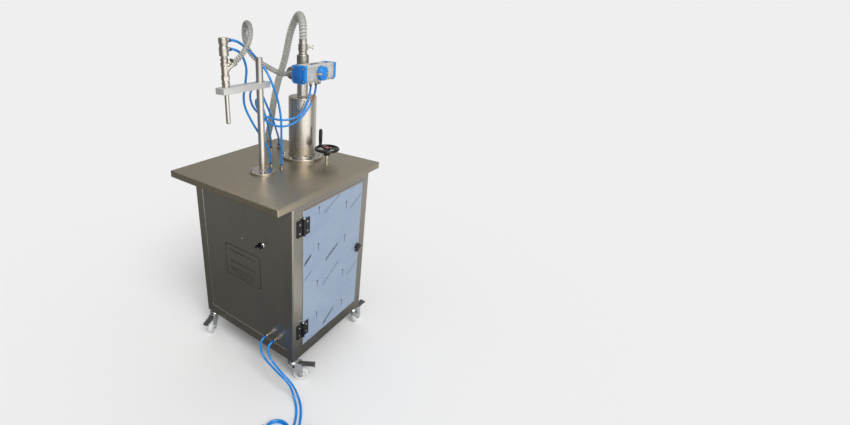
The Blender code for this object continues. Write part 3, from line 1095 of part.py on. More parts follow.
def handwheel(machine, looks):
    """Rim, three spokes, hub and crank pin; the crank handle spins on the pin."""
    x, y = WHEEL_X, WHEEL_Y
    rim_profile = []
    for i in range(TINY_STEPS):
        angle = 2 * math.pi * (i + 0.5) / TINY_STEPS
        rim_profile.append((HANDWHEEL_RADIUS + HANDWHEEL_RIM_RADIUS * math.cos(angle),
                            HANDWHEEL_Z + HANDWHEEL_RIM_RADIUS * math.sin(angle)))
    rim = lathe(rim_profile, WHEEL_STEPS, True)
    hub = lathe([(0, HUB_BOTTOM), (HUB_RADIUS - EDGE_BREAK, HUB_BOTTOM), (HUB_RADIUS, HUB_BOTTOM + EDGE_BREAK),
                 (HUB_RADIUS, HUB_TOP - EDGE_BREAK), (HUB_RADIUS - EDGE_BREAK, HUB_TOP), (0, HUB_TOP)], ROUND_STEPS)
    spokes = []
    for i in range(3):
        spoke = box(HUB_RADIUS - 2 * BITE, HANDWHEEL_RADIUS, -SPOKE_WIDTH / 2, SPOKE_WIDTH / 2,
                    HANDWHEEL_Z - SPOKE_THICK / 2, HANDWHEEL_Z + SPOKE_THICK / 2)
        spokes.append(turned(spoke, CRANK_ANGLE + 2 * math.pi * i / 3))
    pin_x, pin_y = HANDWHEEL_RADIUS * math.cos(CRANK_ANGLE), HANDWHEEL_RADIUS * math.sin(CRANK_ANGLE)
    pin = rod(CRANK_PIN_RADIUS, (pin_x, pin_y, HANDWHEEL_Z), (pin_x, pin_y, CRANK_BASE + CRANK_LENGTH - 2 * BITE))
    foot = rod(CRANK_WAIST_RADIUS, (pin_x, pin_y, HANDWHEEL_Z), (pin_x, pin_y, CRANK_BASE - GAP))
    socket = rod(SPINDLE_RADIUS + GAP, (0, 0, HUB_BOTTOM - OVERRUN), (0, 0, HUB_BOTTOM + SPINDLE_SOCKET))
    wheel = moved(cut(join(rim, hub, *spokes, pin, foot), socket), x, y)
    piece("handwheel", wheel, looks["black"], machine, (x, y, 0))
    bore, top = running(CRANK_PIN_RADIUS, SMALL_STEPS), CRANK_BASE + CRANK_LENGTH
    grip = lathe([(0, top - BITE), (bore, top - BITE), (bore, CRANK_BASE), (CRANK_WAIST_RADIUS, CRANK_BASE),
                  (CRANK_RADIUS, CRANK_BASE + CRANK_WAIST_RADIUS), (CRANK_RADIUS, top - 2 * EDGE_BREAK),
                  (CRANK_RADIUS - 2 * EDGE_BREAK, top), (0, top)], SMALL_STEPS)
    piece("crank_handle", moved(grip, x + pin_x, y + pin_y), looks["black"], machine, (x + pin_x, y + pin_y, 0))
    spindle_top = HUB_BOTTOM + SPINDLE_SOCKET - GAP
    spindle = lathe([(0, SPINDLE_BOTTOM), (SPINDLE_RADIUS - EDGE_BREAK, SPINDLE_BOTTOM),
                     (SPINDLE_RADIUS, SPINDLE_BOTTOM + EDGE_BREAK), (SPINDLE_RADIUS, spindle_top), (0, spindle_top)],
                    SMALL_STEPS)
    piece("adjusting_spindle", moved(spindle, x, y), looks["steel"], machine, (x, y, 0))


def stop_nut(machine, looks):
    """The nut on the spindle, with an arm guided between two tie rods of the drive cylinder."""
    x, y = WHEEL_X, WHEEL_Y
    low = STOP_NUT_TOP - STOP_NUT_HEIGHT
    arm_end = CYLINDER_X + DRIVE_BORE + DRIVE_WALL + 2 * BITE
    nut = hexagon(STOP_NUT_RADIUS, low, STOP_NUT_TOP)
    arm = box(arm_end - x, 0, CYLINDER_Y - y - STOP_ARM_WIDTH / 2, CYLINDER_Y - y + STOP_ARM_WIDTH / 2,
              low, low + STOP_ARM_THICK)
    bore = rod(running(SPINDLE_RADIUS, SMALL_STEPS), (0, 0, low - OVERRUN), (0, 0, STOP_NUT_TOP + OVERRUN))
    piece("stop_nut", moved(cut(join(nut, arm), bore), x, y), looks["brass"], machine, (x, y, 0))


def air_valve(machine, looks):
    """The pilot valve block on the inside of the front panel, with its two coils."""
    half = AIR_VALVE_LENGTH / 2
    y0 = PANEL_FACE + SHEET + GAP
    top = AIR_VALVE_Z + AIR_VALVE_HEIGHT
    block = box(AIR_VALVE_X - half, AIR_VALVE_X + half, y0, y0 + AIR_VALVE_DEPTH, AIR_VALVE_Z, top)
    coils = []
    for side in (-1, 1):
        edge = AIR_VALVE_X + side * half
        x0, x1 = sorted((edge - side * COIL_BLOCK_LENGTH, edge))
        coils.append(box(x0, x1, y0 + EDGE_BREAK, y0 + AIR_VALVE_DEPTH - EDGE_BREAK,
                         top - BITE, top + COIL_BLOCK_HEIGHT))
    ports = []
    for step in (-1, 0, 1):
        port_x = AIR_VALVE_X + step * AIR_VALVE_LENGTH / 4
        port_y = y0 + AIR_VALVE_DEPTH / 2
        ports.append(rod(FITTING_BODY_RADIUS, (port_x, port_y, AIR_VALVE_Z - FITTING_HEIGHT),
                         (port_x, port_y, AIR_VALVE_Z + BITE)))
    piece("air_valve", join(rounded(block, EDGE_BREAK), *coils, *ports), looks["aluminium"], machine)


# Routes of the loose tubes and hoses, in metres from the middle of the table top,
# chosen by hand along the photograph
SUCTION_ROUTE = [
    (-0.007, 0.157, 0.453), (-0.007, 0.157, 0.485), (-0.026, 0.176, 0.512), (-0.060, 0.205, 0.530),
    (-0.094, 0.232, 0.532), (-0.124, 0.249, 0.514), (-0.143, 0.248, 0.481), (-0.151, 0.242, 0.443),
    (-0.160, 0.234, 0.387), (-0.170, 0.227, 0.342), (-0.184, 0.217, 0.297), (-0.196, 0.211, 0.247),
    (-0.208, 0.207, 0.200), (-0.221, 0.211, 0.153), (-0.238, 0.219, 0.107), (-0.270, 0.237, 0.050),
    (-0.297, 0.247, -0.006), (-0.312, 0.254, -0.080), (-0.322, 0.259, -0.200), (-0.326, 0.261, -0.400),
    (-0.327, 0.261, -0.560), (-0.327, 0.258, -0.640), (-0.327, 0.240, -0.706), (-0.327, 0.200, -0.746),
    (-0.328, 0.150, -0.7595), (-0.327, 0.080, -0.7600), (-0.322, 0.010, -0.7600), (-0.317, -0.030, -0.7600),
]
OUTLET_ROUTE = [
    (-0.007, 0.0654, 0.338), (-0.007, 0.045, 0.338), (-0.008, 0.004, 0.353), (-0.013, -0.021, 0.366),
    (-0.021, -0.038, 0.377), (-0.034, -0.051, 0.389), (-0.047, -0.063, 0.403), (-0.056, -0.076, 0.425),
    (-0.059, -0.087, 0.452), (-0.052, -0.097, 0.481), (-0.034, -0.109, 0.502), (-0.004, -0.129, 0.5125),
    (0.024, -0.143, 0.504), (0.037, -0.154, 0.486), (0.046, -0.168, 0.465), (0.048, -0.185, 0.444),
    (0.0380, -0.2017, 0.4187), (0.0265, -0.2115, 0.4055),
]
AIR_ROUTE_A = [
    (0.0178, -0.2189, 0.466), (0.0285, -0.2098, 0.466), (0.028, -0.196, 0.460), (0.024, -0.180, 0.452),
    (0.018, -0.160, 0.442), (0.006, -0.134, 0.431), (-0.011, -0.103, 0.419), (-0.020, -0.078, 0.404),
    (-0.015, -0.064, 0.387), (-0.003, -0.057, 0.371), (0.020, -0.058, 0.346), (0.032, -0.056, 0.321),
    (0.036, -0.042, 0.286), (0.038, -0.027, 0.237), (0.039, -0.020, 0.193), (0.036, -0.016, 0.133),
    (0.031, -0.012, 0.074), (0.028, -0.009, 0.034), (0.028, -0.009, 0.0173),
]
AIR_ROUTE_B = [
    (0.0178, -0.2189, 0.440), (0.0240, -0.2136, 0.440), (0.0285, -0.2050, 0.4385), (0.028, -0.192, 0.431),
    (0.025, -0.179, 0.417), (0.019, -0.165, 0.397), (0.009, -0.150, 0.375), (-0.010, -0.135, 0.354),
    (-0.025, -0.124, 0.335),
    (-0.032, -0.122, 0.314), (-0.034, -0.127, 0.294), (-0.032, -0.133, 0.265), (-0.028, -0.128, 0.234),
    (-0.024, -0.112, 0.201), (-0.021, -0.085, 0.155), (-0.015, -0.055, 0.110), (-0.012, -0.034, 0.066),
    (-0.012, -0.025, 0.034), (-0.012, -0.025, 0.0173),
]
AIR_ROUTE_C = [
    (0.050, 0.135, 0.2922), (0.050, 0.135, 0.281), (0.057, 0.118, 0.254), (0.061, 0.099, 0.225),
    (0.056, 0.075, 0.197), (0.034, 0.044, 0.180), (0.009, 0.008, 0.179), (-0.009, -0.014, 0.186),
    (-0.024, -0.040, 0.197), (-0.041, -0.062, 0.213), (-0.051, -0.072, 0.233), (-0.058, -0.076, 0.254),
    (-0.063, -0.073, 0.276), (-0.066, -0.062, 0.293), (-0.065, -0.044, 0.299), (-0.063, -0.022, 0.284),
    (-0.065, 0.001, 0.250), (-0.070, 0.025, 0.213), (-0.077, 0.051, 0.177), (-0.087, 0.076, 0.144),
    (-0.103, 0.104, 0.109), (-0.124, 0.137, 0.074), (-0.150, 0.171, 0.046), (-0.160, 0.181, 0.030),
    (-0.160, 0.181, 0.0173),
]
AIR_ROUTE_D = [
    (0.050, 0.167, 0.2922), (0.050, 0.167, 0.281), (0.058, 0.148, 0.257), (0.062, 0.132, 0.240),
    (0.063, 0.117, 0.225), (0.061, 0.099, 0.206), (0.056, 0.075, 0.184), (0.045, 0.052, 0.167),
    (0.031, 0.032, 0.158), (0.013, 0.008, 0.155), (-0.006, -0.013, 0.161), (-0.025, -0.031, 0.177),
    (-0.043, -0.042, 0.201), (-0.058, -0.045, 0.226), (-0.070, -0.040, 0.245), (-0.078, -0.028, 0.255),
    (-0.080, -0.014, 0.248), (-0.079, 0.002, 0.226), (-0.081, 0.020, 0.187), (-0.090, 0.042, 0.146),
    (-0.110, 0.072, 0.103), (-0.131, 0.100, 0.068), (-0.152, 0.123, 0.044), (-0.160, 0.131, 0.030),
    (-0.160, 0.131, 0.0173),
]
SUPPLY_ROUTE_1 = [
    (0.146, -0.2456, -0.596), (0.146, -0.257, -0.596), (0.1465, -0.269, -0.603), (0.148, -0.274, -0.622),
    (0.155, -0.277, -0.645), (0.175, -0.281, -0.661), (0.201, -0.284, -0.668), (0.222, -0.286, -0.673),
    (0.243, -0.288, -0.677), (0.264, -0.2895, -0.682), (0.283, -0.289, -0.6885), (0.297, -0.286, -0.701),
    (0.305, -0.280, -0.721), (0.310, -0.276, -0.744), (0.320, -0.278, -0.762), (0.338, -0.290, -0.7698),
    (0.359, -0.310, -0.7712), (0.383, -0.345, -0.7713), (0.394, -0.366, -0.7713), (0.4035, -0.3854, -0.7713),
    (0.4076, -0.3942, -0.7713),
]
SUPPLY_ROUTE_2 = [
    (0.186, -0.2456, -0.596), (0.186, -0.257, -0.596), (0.187, -0.270, -0.602), (0.189, -0.276, -0.618),
    (0.197, -0.279, -0.635), (0.219, -0.281, -0.653), (0.241, -0.283, -0.662), (0.261, -0.2845, -0.669),
    (0.280, -0.285, -0.677), (0.296, -0.281, -0.689), (0.306, -0.275, -0.707), (0.312, -0.266, -0.733),
    (0.320, -0.261, -0.757), (0.338, -0.269, -0.7690), (0.363, -0.290, -0.7711), (0.397, -0.334, -0.7713),
    (0.4085, -0.354, -0.7713), (0.4185, -0.3734, -0.7713), (0.4226, -0.3822, -0.7713),
]


def smooth_route(points, step):
    """Points at an even spacing along a smooth curve through a route.

    The first and last runs of the route stay as they are, so that a tube leaves its
    fitting squarely.
    """
    points = [Vector(p) for p in points]
    runs = [b - a for a, b in zip(points, points[1:])]
    lengths = [run.length for run in runs]
    slopes = [runs[0].normalized()]
    for i in range(1, len(points) - 1):
        before, after = lengths[i - 1], lengths[i]
        slope = runs[i - 1] / before * after + runs[i] / after * before
        slopes.append(slope / (before + after))
    slopes.append(runs[-1].normalized())
    slopes[1] = slopes[0]
    slopes[-2] = slopes[-1]
    dense = [points[1]]
    for i in range(1, len(points) - 2):
        near = points[i] + slopes[i] * lengths[i] / 3
        far = points[i + 1] - slopes[i + 1] * lengths[i] / 3
        dense.extend(interpolate_bezier(points[i], near, far, points[i + 1], 24)[1:])
    reached = [0]
    for a, b in zip(dense, dense[1:]):
        reached.append(reached[-1] + (b - a).length)
    count = max(2, round(reached[-1] / step))
    even, at = [], 0
    for i in range(count + 1):
        goal = reached[-1] * i / count
        while at < len(dense) - 2 and reached[at + 1] < goal:
            at += 1
        share = (goal - reached[at]) / (reached[at + 1] - reached[at])
        even.append(dense[at].lerp(dense[at + 1], min(1, share)))
    return [points[0]] + even + [points[-1]]


def curve_object(name, points, radius, look, machine, resolution=2, radii=None):
    """A round tube with closed ends along a line of points."""
    curve = bpy.data.curves.new(name, "CURVE")
    curve.dimensions = "3D"
    curve.bevel_depth = radius
    curve.bevel_resolution = resolution
    curve.use_fill_caps = True
    spline = curve.splines.new("POLY")
    spline.points.add(len(points) - 1)
    for i, point in enumerate(points):
        spline.points[i].co = (*point, 1)
        spline.points[i].radius = radii[i] if radii else 1
    spline.use_smooth = True
    curve.materials.append(look)
    made = bpy.data.objects.new(name, curve)
    made.parent = machine
    bpy.context.scene.collection.objects.link(made)
    return made


def curve_shape(points, radius, radii=None):
    """The same tube as a mesh, for cutting."""
    made = curve_object("spare", points, radius, None, None, 2, radii)
    curve = made.data
    view = bpy.context.evaluated_depsgraph_get()
    shaped = made.evaluated_get(view)
    bm = bmesh.new()
    bm.from_mesh(shaped.to_mesh())
    shaped.to_mesh_clear()
    bpy.data.objects.remove(made)
    bpy.data.curves.remove(curve)
    bmesh.ops.remove_doubles(bm, verts=bm.verts, dist=MERGE)
    bmesh.ops.recalc_face_normals(bm, faces=bm.faces)
    return bm


def suction_hose(machine, looks):
    """The ribbed suction hose with its bore, from the valve to its free end on the floor."""
    length = sum((Vector(b) - Vector(a)).length for a, b in zip(SUCTION_ROUTE, SUCTION_ROUTE[1:]))
    points = smooth_route(SUCTION_ROUTE, length / (2 * HOSE_RIBS))
    radii = [1 if i % 2 else SUCTION_ROOT_SHARE for i in range(len(points))]
    outside = curve_shape(points, SUCTION_HOSE / 2, radii)
    inner = smooth_route(SUCTION_ROUTE, BORE_STEP)
    inner[0] = inner[0] - (inner[1] - inner[0]).normalized() * OVERRUN
    inner[-1] = inner[-1] + (inner[-1] - inner[-2]).normalized() * OVERRUN
    piece("suction_hose", cut(outside, curve_shape(inner, SUCTION_BORE)), looks["hose"], machine)


def coil_points(start, heading, side):
    """A flat coil in two layers that begins straight, spirals in, climbs and spirals out."""
    start, heading = Vector(start), Vector(heading).normalized()
    turn_way = Vector((-heading.y, heading.x, 0)) * side
    entry = start + heading * AIR_TUBE
    centre = entry + turn_way * COIL_RADIUS
    first = math.atan2(entry.y - centre.y, entry.x - centre.x)
    points = [start]
    count = round(COIL_TURNS * LOOP_POINTS)
    climb = LOOP_POINTS // 2
    for i in range(2 * count + climb + 1):
        if i <= count:
            inward, lift = i, 0
        elif i < count + climb:
            inward, lift = count, (i - count) / climb
        else:
            inward, lift = 2 * count + climb - i, 1
        radius = COIL_RADIUS - COIL_PITCH * inward / LOOP_POINTS
        angle = first + side * 2 * math.pi * i / LOOP_POINTS
        height = start.z + lift * COIL_LAYER
        x, y = centre.x + radius * math.cos(angle), centre.y + radius * math.sin(angle)
        points.append(Vector((x, y, height)))
    points.append(points[-1] + (points[-1] - points[-2]).normalized() * AIR_TUBE)
    return points


def least_self_gap(points, diameter):
    """Smallest clear distance between parts of a tube that aren't neighbours along it."""
    skip = LOOP_POINTS // 3
    least = None
    for i, a in enumerate(points):
        for b in points[i + skip:]:
            gap = (a - b).length - diameter
            least = gap if least is None else min(least, gap)
    return least


def loose_tubes(machine, looks):
    """The hoses and air tubes, and the two supply tubes with their spare length coiled."""
    suction_hose(machine, looks)
    outlet = smooth_route(OUTLET_ROUTE, OUTLET_HOSE * ROUTE_STEP_SHARE / 2)
    curve_object("outlet_hose", outlet, OUTLET_HOSE / 2, looks["hose"], machine, 3)
    routes = {"air_tube_a": AIR_ROUTE_A, "air_tube_b": AIR_ROUTE_B, "air_tube_c": AIR_ROUTE_C,
              "air_tube_d": AIR_ROUTE_D, "supply_tube_1": SUPPLY_ROUTE_1, "supply_tube_2": SUPPLY_ROUTE_2}
    for name, route in routes.items():
        points = smooth_route(route, AIR_TUBE * ROUTE_STEP_SHARE)
        curve_object(name, points, AIR_TUBE / 2, looks["tube"], machine)
    for name, route, side in (("supply_coil_1", SUPPLY_ROUTE_1, -1), ("supply_coil_2", SUPPLY_ROUTE_2, 1)):
        end = Vector(route[-1])
        heading = end - Vector(route[-2])
        points = coil_points(end + heading.normalized() * GAP, heading, side)
        curve_object(name, points, AIR_TUBE / 2, looks["tube"], machine, 1)
        print(name, "least gap to itself in mm:", round(least_self_gap(points, AIR_TUBE) * 1000, 2))


def stand_on_origin(machine):
    """Moves the machine so that its casters stand on the ground, centred on the origin."""
    view = bpy.context.evaluated_depsgraph_get()
    corners = []
    for made in bpy.data.objects:
        if made.type == "MESH" and made.name != "suction_hose":
            shaped = made.evaluated_get(view)
            corners.extend(made.matrix_world @ Vector(v.co) for v in shaped.data.vertices)
    low = [min(c[i] for c in corners) for i in range(3)]
    high = [max(c[i] for c in corners) for i in range(3)]
    machine.location = (-(low[0] + high[0]) / 2, -(low[1] + high[1]) / 2, -low[2])


def make_looks():
    return {
        "steel": material("stainless_steel", (0.42, 0.39, 0.34), 0.32, 1.0),
        "frame": material("frame_steel", (0.36, 0.34, 0.30), 0.38, 1.0),
        "panel": material("panel_steel", (0.30, 0.28, 0.25), 0.42, 1.0),
        "film": material("protective_film", (0.30, 0.38, 0.50), 0.30, 0.0),
        "black": material("black_plastic", (0.012, 0.012, 0.014), 0.45, 0.0),
        "chrome": material("chrome", (0.70, 0.70, 0.70), 0.12, 1.0),
        "brass": material("nickel_brass", (0.55, 0.48, 0.38), 0.25, 1.0),
        "zinc": material("zinc", (0.60, 0.61, 0.62), 0.30, 1.0),
        "nylon": material("white_nylon", (0.80, 0.80, 0.78), 0.40, 0.0),
        "pedal": material("dark_pedal", (0.05, 0.05, 0.05), 0.50, 0.0),
        "blue": material("blue_enamel", (0.003, 0.16, 0.62), 0.28, 0.0),
        "tube": material("blue_tube", (0.003, 0.19, 0.80), 0.22, 0.0),
        "hose": material("clear_hose", (0.55, 0.55, 0.50), 0.30, 0.0),
        "aluminium": material("aluminium", (0.62, 0.60, 0.56), 0.42, 1.0),
    }


def main():
    for old in list(bpy.data.objects):
        bpy.data.objects.remove(old)
    looks = make_looks()
    machine = empty("machine", None)
    for build in (table_top, cabinet_frame, cabinet_panels, door, door_latch, selector, air_inlets, casters,
                  post, arm_bar, nozzle, product_cylinder, product_piston, drive_cylinder, valve_body,
                  position_indicator, couplings, actuator, handwheel, stop_nut, air_valve, loose_tubes):
        build(machine, looks)
    hinge("upper_hinge", HINGE_UPPER_Z, machine, looks)
    hinge("lower_hinge", HINGE_LOWER_Z, machine, looks)
    bpy.context.view_layer.update()
    stand_on_origin(machine)


main()
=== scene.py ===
"""Looks of the piston paste filling machine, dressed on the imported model.

Everything is built in the design's own coordinates, whose zero is the middle of the table's
upper face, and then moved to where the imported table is. Metres, +Z up, front towards -Y,
door towards +X.
"""
import math

import bmesh
import bpy
from mathutils import Matrix, Vector
from mathutils.geometry import interpolate_bezier


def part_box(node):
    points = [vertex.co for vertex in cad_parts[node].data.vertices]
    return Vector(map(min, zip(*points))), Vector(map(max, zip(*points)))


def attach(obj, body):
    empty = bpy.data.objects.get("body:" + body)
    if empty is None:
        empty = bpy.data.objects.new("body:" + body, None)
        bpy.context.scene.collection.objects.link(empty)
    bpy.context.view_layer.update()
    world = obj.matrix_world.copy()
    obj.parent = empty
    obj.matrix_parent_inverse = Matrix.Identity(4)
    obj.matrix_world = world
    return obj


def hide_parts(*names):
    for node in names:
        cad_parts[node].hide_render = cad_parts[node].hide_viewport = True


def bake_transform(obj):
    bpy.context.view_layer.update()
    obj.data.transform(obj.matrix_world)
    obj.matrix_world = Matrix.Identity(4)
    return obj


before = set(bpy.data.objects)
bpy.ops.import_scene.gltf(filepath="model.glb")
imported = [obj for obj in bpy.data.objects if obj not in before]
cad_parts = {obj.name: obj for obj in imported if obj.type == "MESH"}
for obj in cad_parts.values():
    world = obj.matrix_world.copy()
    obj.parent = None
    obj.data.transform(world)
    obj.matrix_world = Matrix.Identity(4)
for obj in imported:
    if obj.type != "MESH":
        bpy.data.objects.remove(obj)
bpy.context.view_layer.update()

TABLE_HEIGHT = 0.776
table_low, table_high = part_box("table_top")
ORIGIN = Vector(((table_low.x + table_high.x) / 2, (table_low.y + table_high.y) / 2, TABLE_HEIGHT))

# Camera, from the fit to the photograph: place in metres from the middle of the table,
# angles in degrees, focal length and principal point in pixels
PHOTO_WIDTH, PHOTO_HEIGHT = 850, 425
CAMERA_PLACE = Vector((1.0656, -1.1470, 0.5454))
CAMERA_AZIMUTH, CAMERA_ELEVATION = 40.41, 24.56
FOCAL_PIXELS = 425.34
PRINCIPAL_POINT = (295.24, 205.82)
SENSOR = 36

# What is printed on the door's film, as (y, z) places on the door
FILM_ARROWS = [(-0.0808, -0.0784), (0.0894, -0.1152), (-0.0798, -0.2231), (0.0897, -0.2587),
               (-0.0810, -0.3809), (0.0885, -0.4162), (0.0923, -0.5676), (-0.0808, -0.5263)]
FILM_LINES = [((0.0425, -0.0583), (-0.0489, -0.1012)), ((0.1880, -0.1040), (0.1226, -0.1374)),
              ((0.0531, -0.3479), (-0.0490, -0.4061)), ((0.1900, -0.4070), (0.1211, -0.4419)),
              ((-0.1197, -0.3073), (-0.1580, -0.3300))]
FILM_BARS = [((-0.030, -0.300), (0.045, -0.262)), ((-0.155, -0.262), (-0.122, -0.240)),
             ((-0.036, -0.600), (0.032, -0.556))]

# Light
BACKGROUND = 0.863
FLOOR_COLOUR = 0.868
SKY_LEVEL = 0.62
SUN_STRENGTH = 1.55
SUN_AZIMUTH, SUN_ELEVATION, SUN_WIDTH = -25, 50, 30
# Brightness round the studio that bright metal mirrors: (degrees from +X, level)
STUDIO_LEVELS = [(-180, 0.24), (-152, 0.14), (-132, 0.17), (-112, 0.15), (-92, 0.18), (-70, 0.50),
                 (-48, 1.15), (-8, 1.20), (16, 0.90), (30, 0.34), (52, 0.38), (76, 0.54), (100, 0.60),
                 (125, 0.46), (150, 0.38), (180, 0.24)]
# Where the floor's mirrored levels turn round, so that faces near the floor keep their tone
STUDIO_MIDDLE = (0.42, 0.28)
# Distance from the object over which the floor's mirrored levels grow, and from what to what: a painted
# shadow of the object in the floor that metal mirrors
MIRRORED_FLOOR_PAINTED_SHADOW = (0.4, 1.8, 0.70, 1.38)
CEILING_LEVEL = 0.75
FLOOR_SIZE = 400

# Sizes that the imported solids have, in metres
TABLE_X, TABLE_Y = 0.275, 0.300
POST_Y = -0.083
NOZZLE_Y = -0.234
ARM_Z0, ARM_Z1 = 0.306, 0.326
CYLINDER_X, CYLINDER_Y = -0.007, 0.157
VALVE_Z = 0.338
PORT_AZIMUTH, BRANCH_SLOPE = 0.705, 0.72
WHEEL_X, WHEEL_Y = 0.122, 0.152
CRANK_RADIUS, CRANK_HEADING = 0.043, 2.86
CAB_X0, CAB_X1 = -0.240, 0.265
CAB_Z0, CAB_Z1 = -0.672, -0.0023
TUBE = 0.040
OPEN_Y0, OPEN_Y1, OPEN_Z0, OPEN_Z1 = -0.167, 0.203, -0.628, -0.0503
DOOR_FACE = 0.266
PANEL_FACE = -0.217
INLETS_X, INLETS_Z = (0.146, 0.186), -0.596
FLOOR_Z = -TABLE_HEIGHT
TABLE_FITTINGS = [(-0.160, 0.131), (-0.160, 0.181), (-0.012, -0.025), (0.028, -0.009)]
CASTERS = {"front": (0.245, -0.199, 0.56), "left": (-0.220, -0.199, -1.17),
           "right": (0.245, 0.221, 1.57), "rear": (-0.220, 0.221, 2.30)}

# Routes of the hoses and tubes, as in the part's source
SUCTION_ROUTE = [
    (-0.007, 0.157, 0.453), (-0.007, 0.157, 0.485), (-0.026, 0.176, 0.512), (-0.060, 0.205, 0.530),
    (-0.094, 0.232, 0.532), (-0.124, 0.249, 0.514), (-0.143, 0.248, 0.481), (-0.151, 0.242, 0.443),
    (-0.160, 0.234, 0.387), (-0.170, 0.227, 0.342), (-0.184, 0.217, 0.297), (-0.196, 0.211, 0.247),
    (-0.208, 0.207, 0.200), (-0.221, 0.211, 0.153), (-0.238, 0.219, 0.107), (-0.270, 0.237, 0.050),
    (-0.297, 0.247, -0.006), (-0.312, 0.254, -0.080), (-0.322, 0.259, -0.200), (-0.326, 0.261, -0.400),
    (-0.327, 0.261, -0.560), (-0.327, 0.258, -0.640), (-0.327, 0.240, -0.706), (-0.327, 0.200, -0.746),
    (-0.328, 0.150, -0.7595), (-0.327, 0.080, -0.7600), (-0.322, 0.010, -0.7600), (-0.317, -0.030, -0.7600),
]
OUTLET_ROUTE = [
    (-0.007, 0.0654, 0.338), (-0.007, 0.045, 0.338), (-0.008, 0.004, 0.353), (-0.013, -0.021, 0.366),
    (-0.021, -0.038, 0.377), (-0.034, -0.051, 0.389), (-0.047, -0.063, 0.403), (-0.056, -0.076, 0.425),
    (-0.059, -0.087, 0.452), (-0.052, -0.097, 0.481), (-0.034, -0.109, 0.502), (-0.004, -0.129, 0.5125),
    (0.024, -0.143, 0.504), (0.037, -0.154, 0.486), (0.046, -0.168, 0.465), (0.048, -0.185, 0.444),
    (0.0380, -0.2017, 0.4187), (0.0265, -0.2115, 0.4055),
]
AIR_ROUTE_A = [
    (0.0178, -0.2189, 0.466), (0.0285, -0.2098, 0.466), (0.028, -0.196, 0.460), (0.024, -0.180, 0.452),
    (0.018, -0.160, 0.442), (0.006, -0.134, 0.431), (-0.011, -0.103, 0.419), (-0.020, -0.078, 0.404),
    (-0.015, -0.064, 0.387), (-0.003, -0.057, 0.371), (0.020, -0.058, 0.346), (0.032, -0.056, 0.321),
    (0.036, -0.042, 0.286), (0.038, -0.027, 0.237), (0.039, -0.020, 0.193), (0.036, -0.016, 0.133),
    (0.031, -0.012, 0.074), (0.028, -0.009, 0.034), (0.028, -0.009, 0.0173),
]
AIR_ROUTE_B = [
    (0.0178, -0.2189, 0.440), (0.0240, -0.2136, 0.440), (0.0285, -0.2050, 0.4385), (0.028, -0.192, 0.431),
    (0.025, -0.179, 0.417), (0.019, -0.165, 0.397), (0.009, -0.150, 0.375), (-0.010, -0.135, 0.354),
    (-0.025, -0.124, 0.335), (-0.032, -0.122, 0.314), (-0.034, -0.127, 0.294), (-0.032, -0.133, 0.265),
    (-0.028, -0.128, 0.234), (-0.024, -0.112, 0.201), (-0.021, -0.085, 0.155), (-0.015, -0.055, 0.110),
    (-0.012, -0.034, 0.066), (-0.012, -0.025, 0.034), (-0.012, -0.025, 0.0173),
]
AIR_ROUTE_C = [
    (0.050, 0.135, 0.2922), (0.050, 0.135, 0.281), (0.057, 0.118, 0.254), (0.061, 0.099, 0.225),
    (0.056, 0.075, 0.197), (0.034, 0.044, 0.180), (0.009, 0.008, 0.179), (-0.009, -0.014, 0.186),
    (-0.024, -0.040, 0.197), (-0.041, -0.062, 0.213), (-0.051, -0.072, 0.233), (-0.058, -0.076, 0.254),
    (-0.063, -0.073, 0.276), (-0.066, -0.062, 0.293), (-0.065, -0.044, 0.299), (-0.063, -0.022, 0.284),
    (-0.065, 0.001, 0.250), (-0.070, 0.025, 0.213), (-0.077, 0.051, 0.177), (-0.087, 0.076, 0.144),
    (-0.103, 0.104, 0.109), (-0.124, 0.137, 0.074), (-0.150, 0.171, 0.046), (-0.160, 0.181, 0.030),
    (-0.160, 0.181, 0.0173),
]
AIR_ROUTE_D = [
    (0.050, 0.167, 0.2922), (0.050, 0.167, 0.281), (0.058, 0.148, 0.257), (0.062, 0.132, 0.240),
    (0.063, 0.117, 0.225), (0.061, 0.099, 0.206), (0.056, 0.075, 0.184), (0.045, 0.052, 0.167),
    (0.031, 0.032, 0.158), (0.013, 0.008, 0.155), (-0.006, -0.013, 0.161), (-0.025, -0.031, 0.177),
    (-0.043, -0.042, 0.201), (-0.058, -0.045, 0.226), (-0.070, -0.040, 0.245), (-0.078, -0.028, 0.255),
    (-0.080, -0.014, 0.248), (-0.079, 0.002, 0.226), (-0.081, 0.020, 0.187), (-0.090, 0.042, 0.146),
    (-0.110, 0.072, 0.103), (-0.131, 0.100, 0.068), (-0.152, 0.123, 0.044), (-0.160, 0.131, 0.030),
    (-0.160, 0.131, 0.0173),
]
SUPPLY_ROUTE_1 = [
    (0.146, -0.2456, -0.596), (0.146, -0.257, -0.596), (0.1465, -0.269, -0.603), (0.148, -0.274, -0.622),
    (0.155, -0.277, -0.645), (0.175, -0.281, -0.661), (0.201, -0.284, -0.668), (0.222, -0.286, -0.673),
    (0.243, -0.288, -0.677), (0.264, -0.2895, -0.682), (0.283, -0.289, -0.6885), (0.297, -0.286, -0.701),
    (0.305, -0.280, -0.721), (0.310, -0.276, -0.744), (0.320, -0.278, -0.762), (0.338, -0.290, -0.7698),
    (0.359, -0.310, -0.7712), (0.383, -0.345, -0.7713), (0.394, -0.366, -0.7713), (0.4035, -0.3854, -0.7713),
    (0.4076, -0.3942, -0.7713),
]
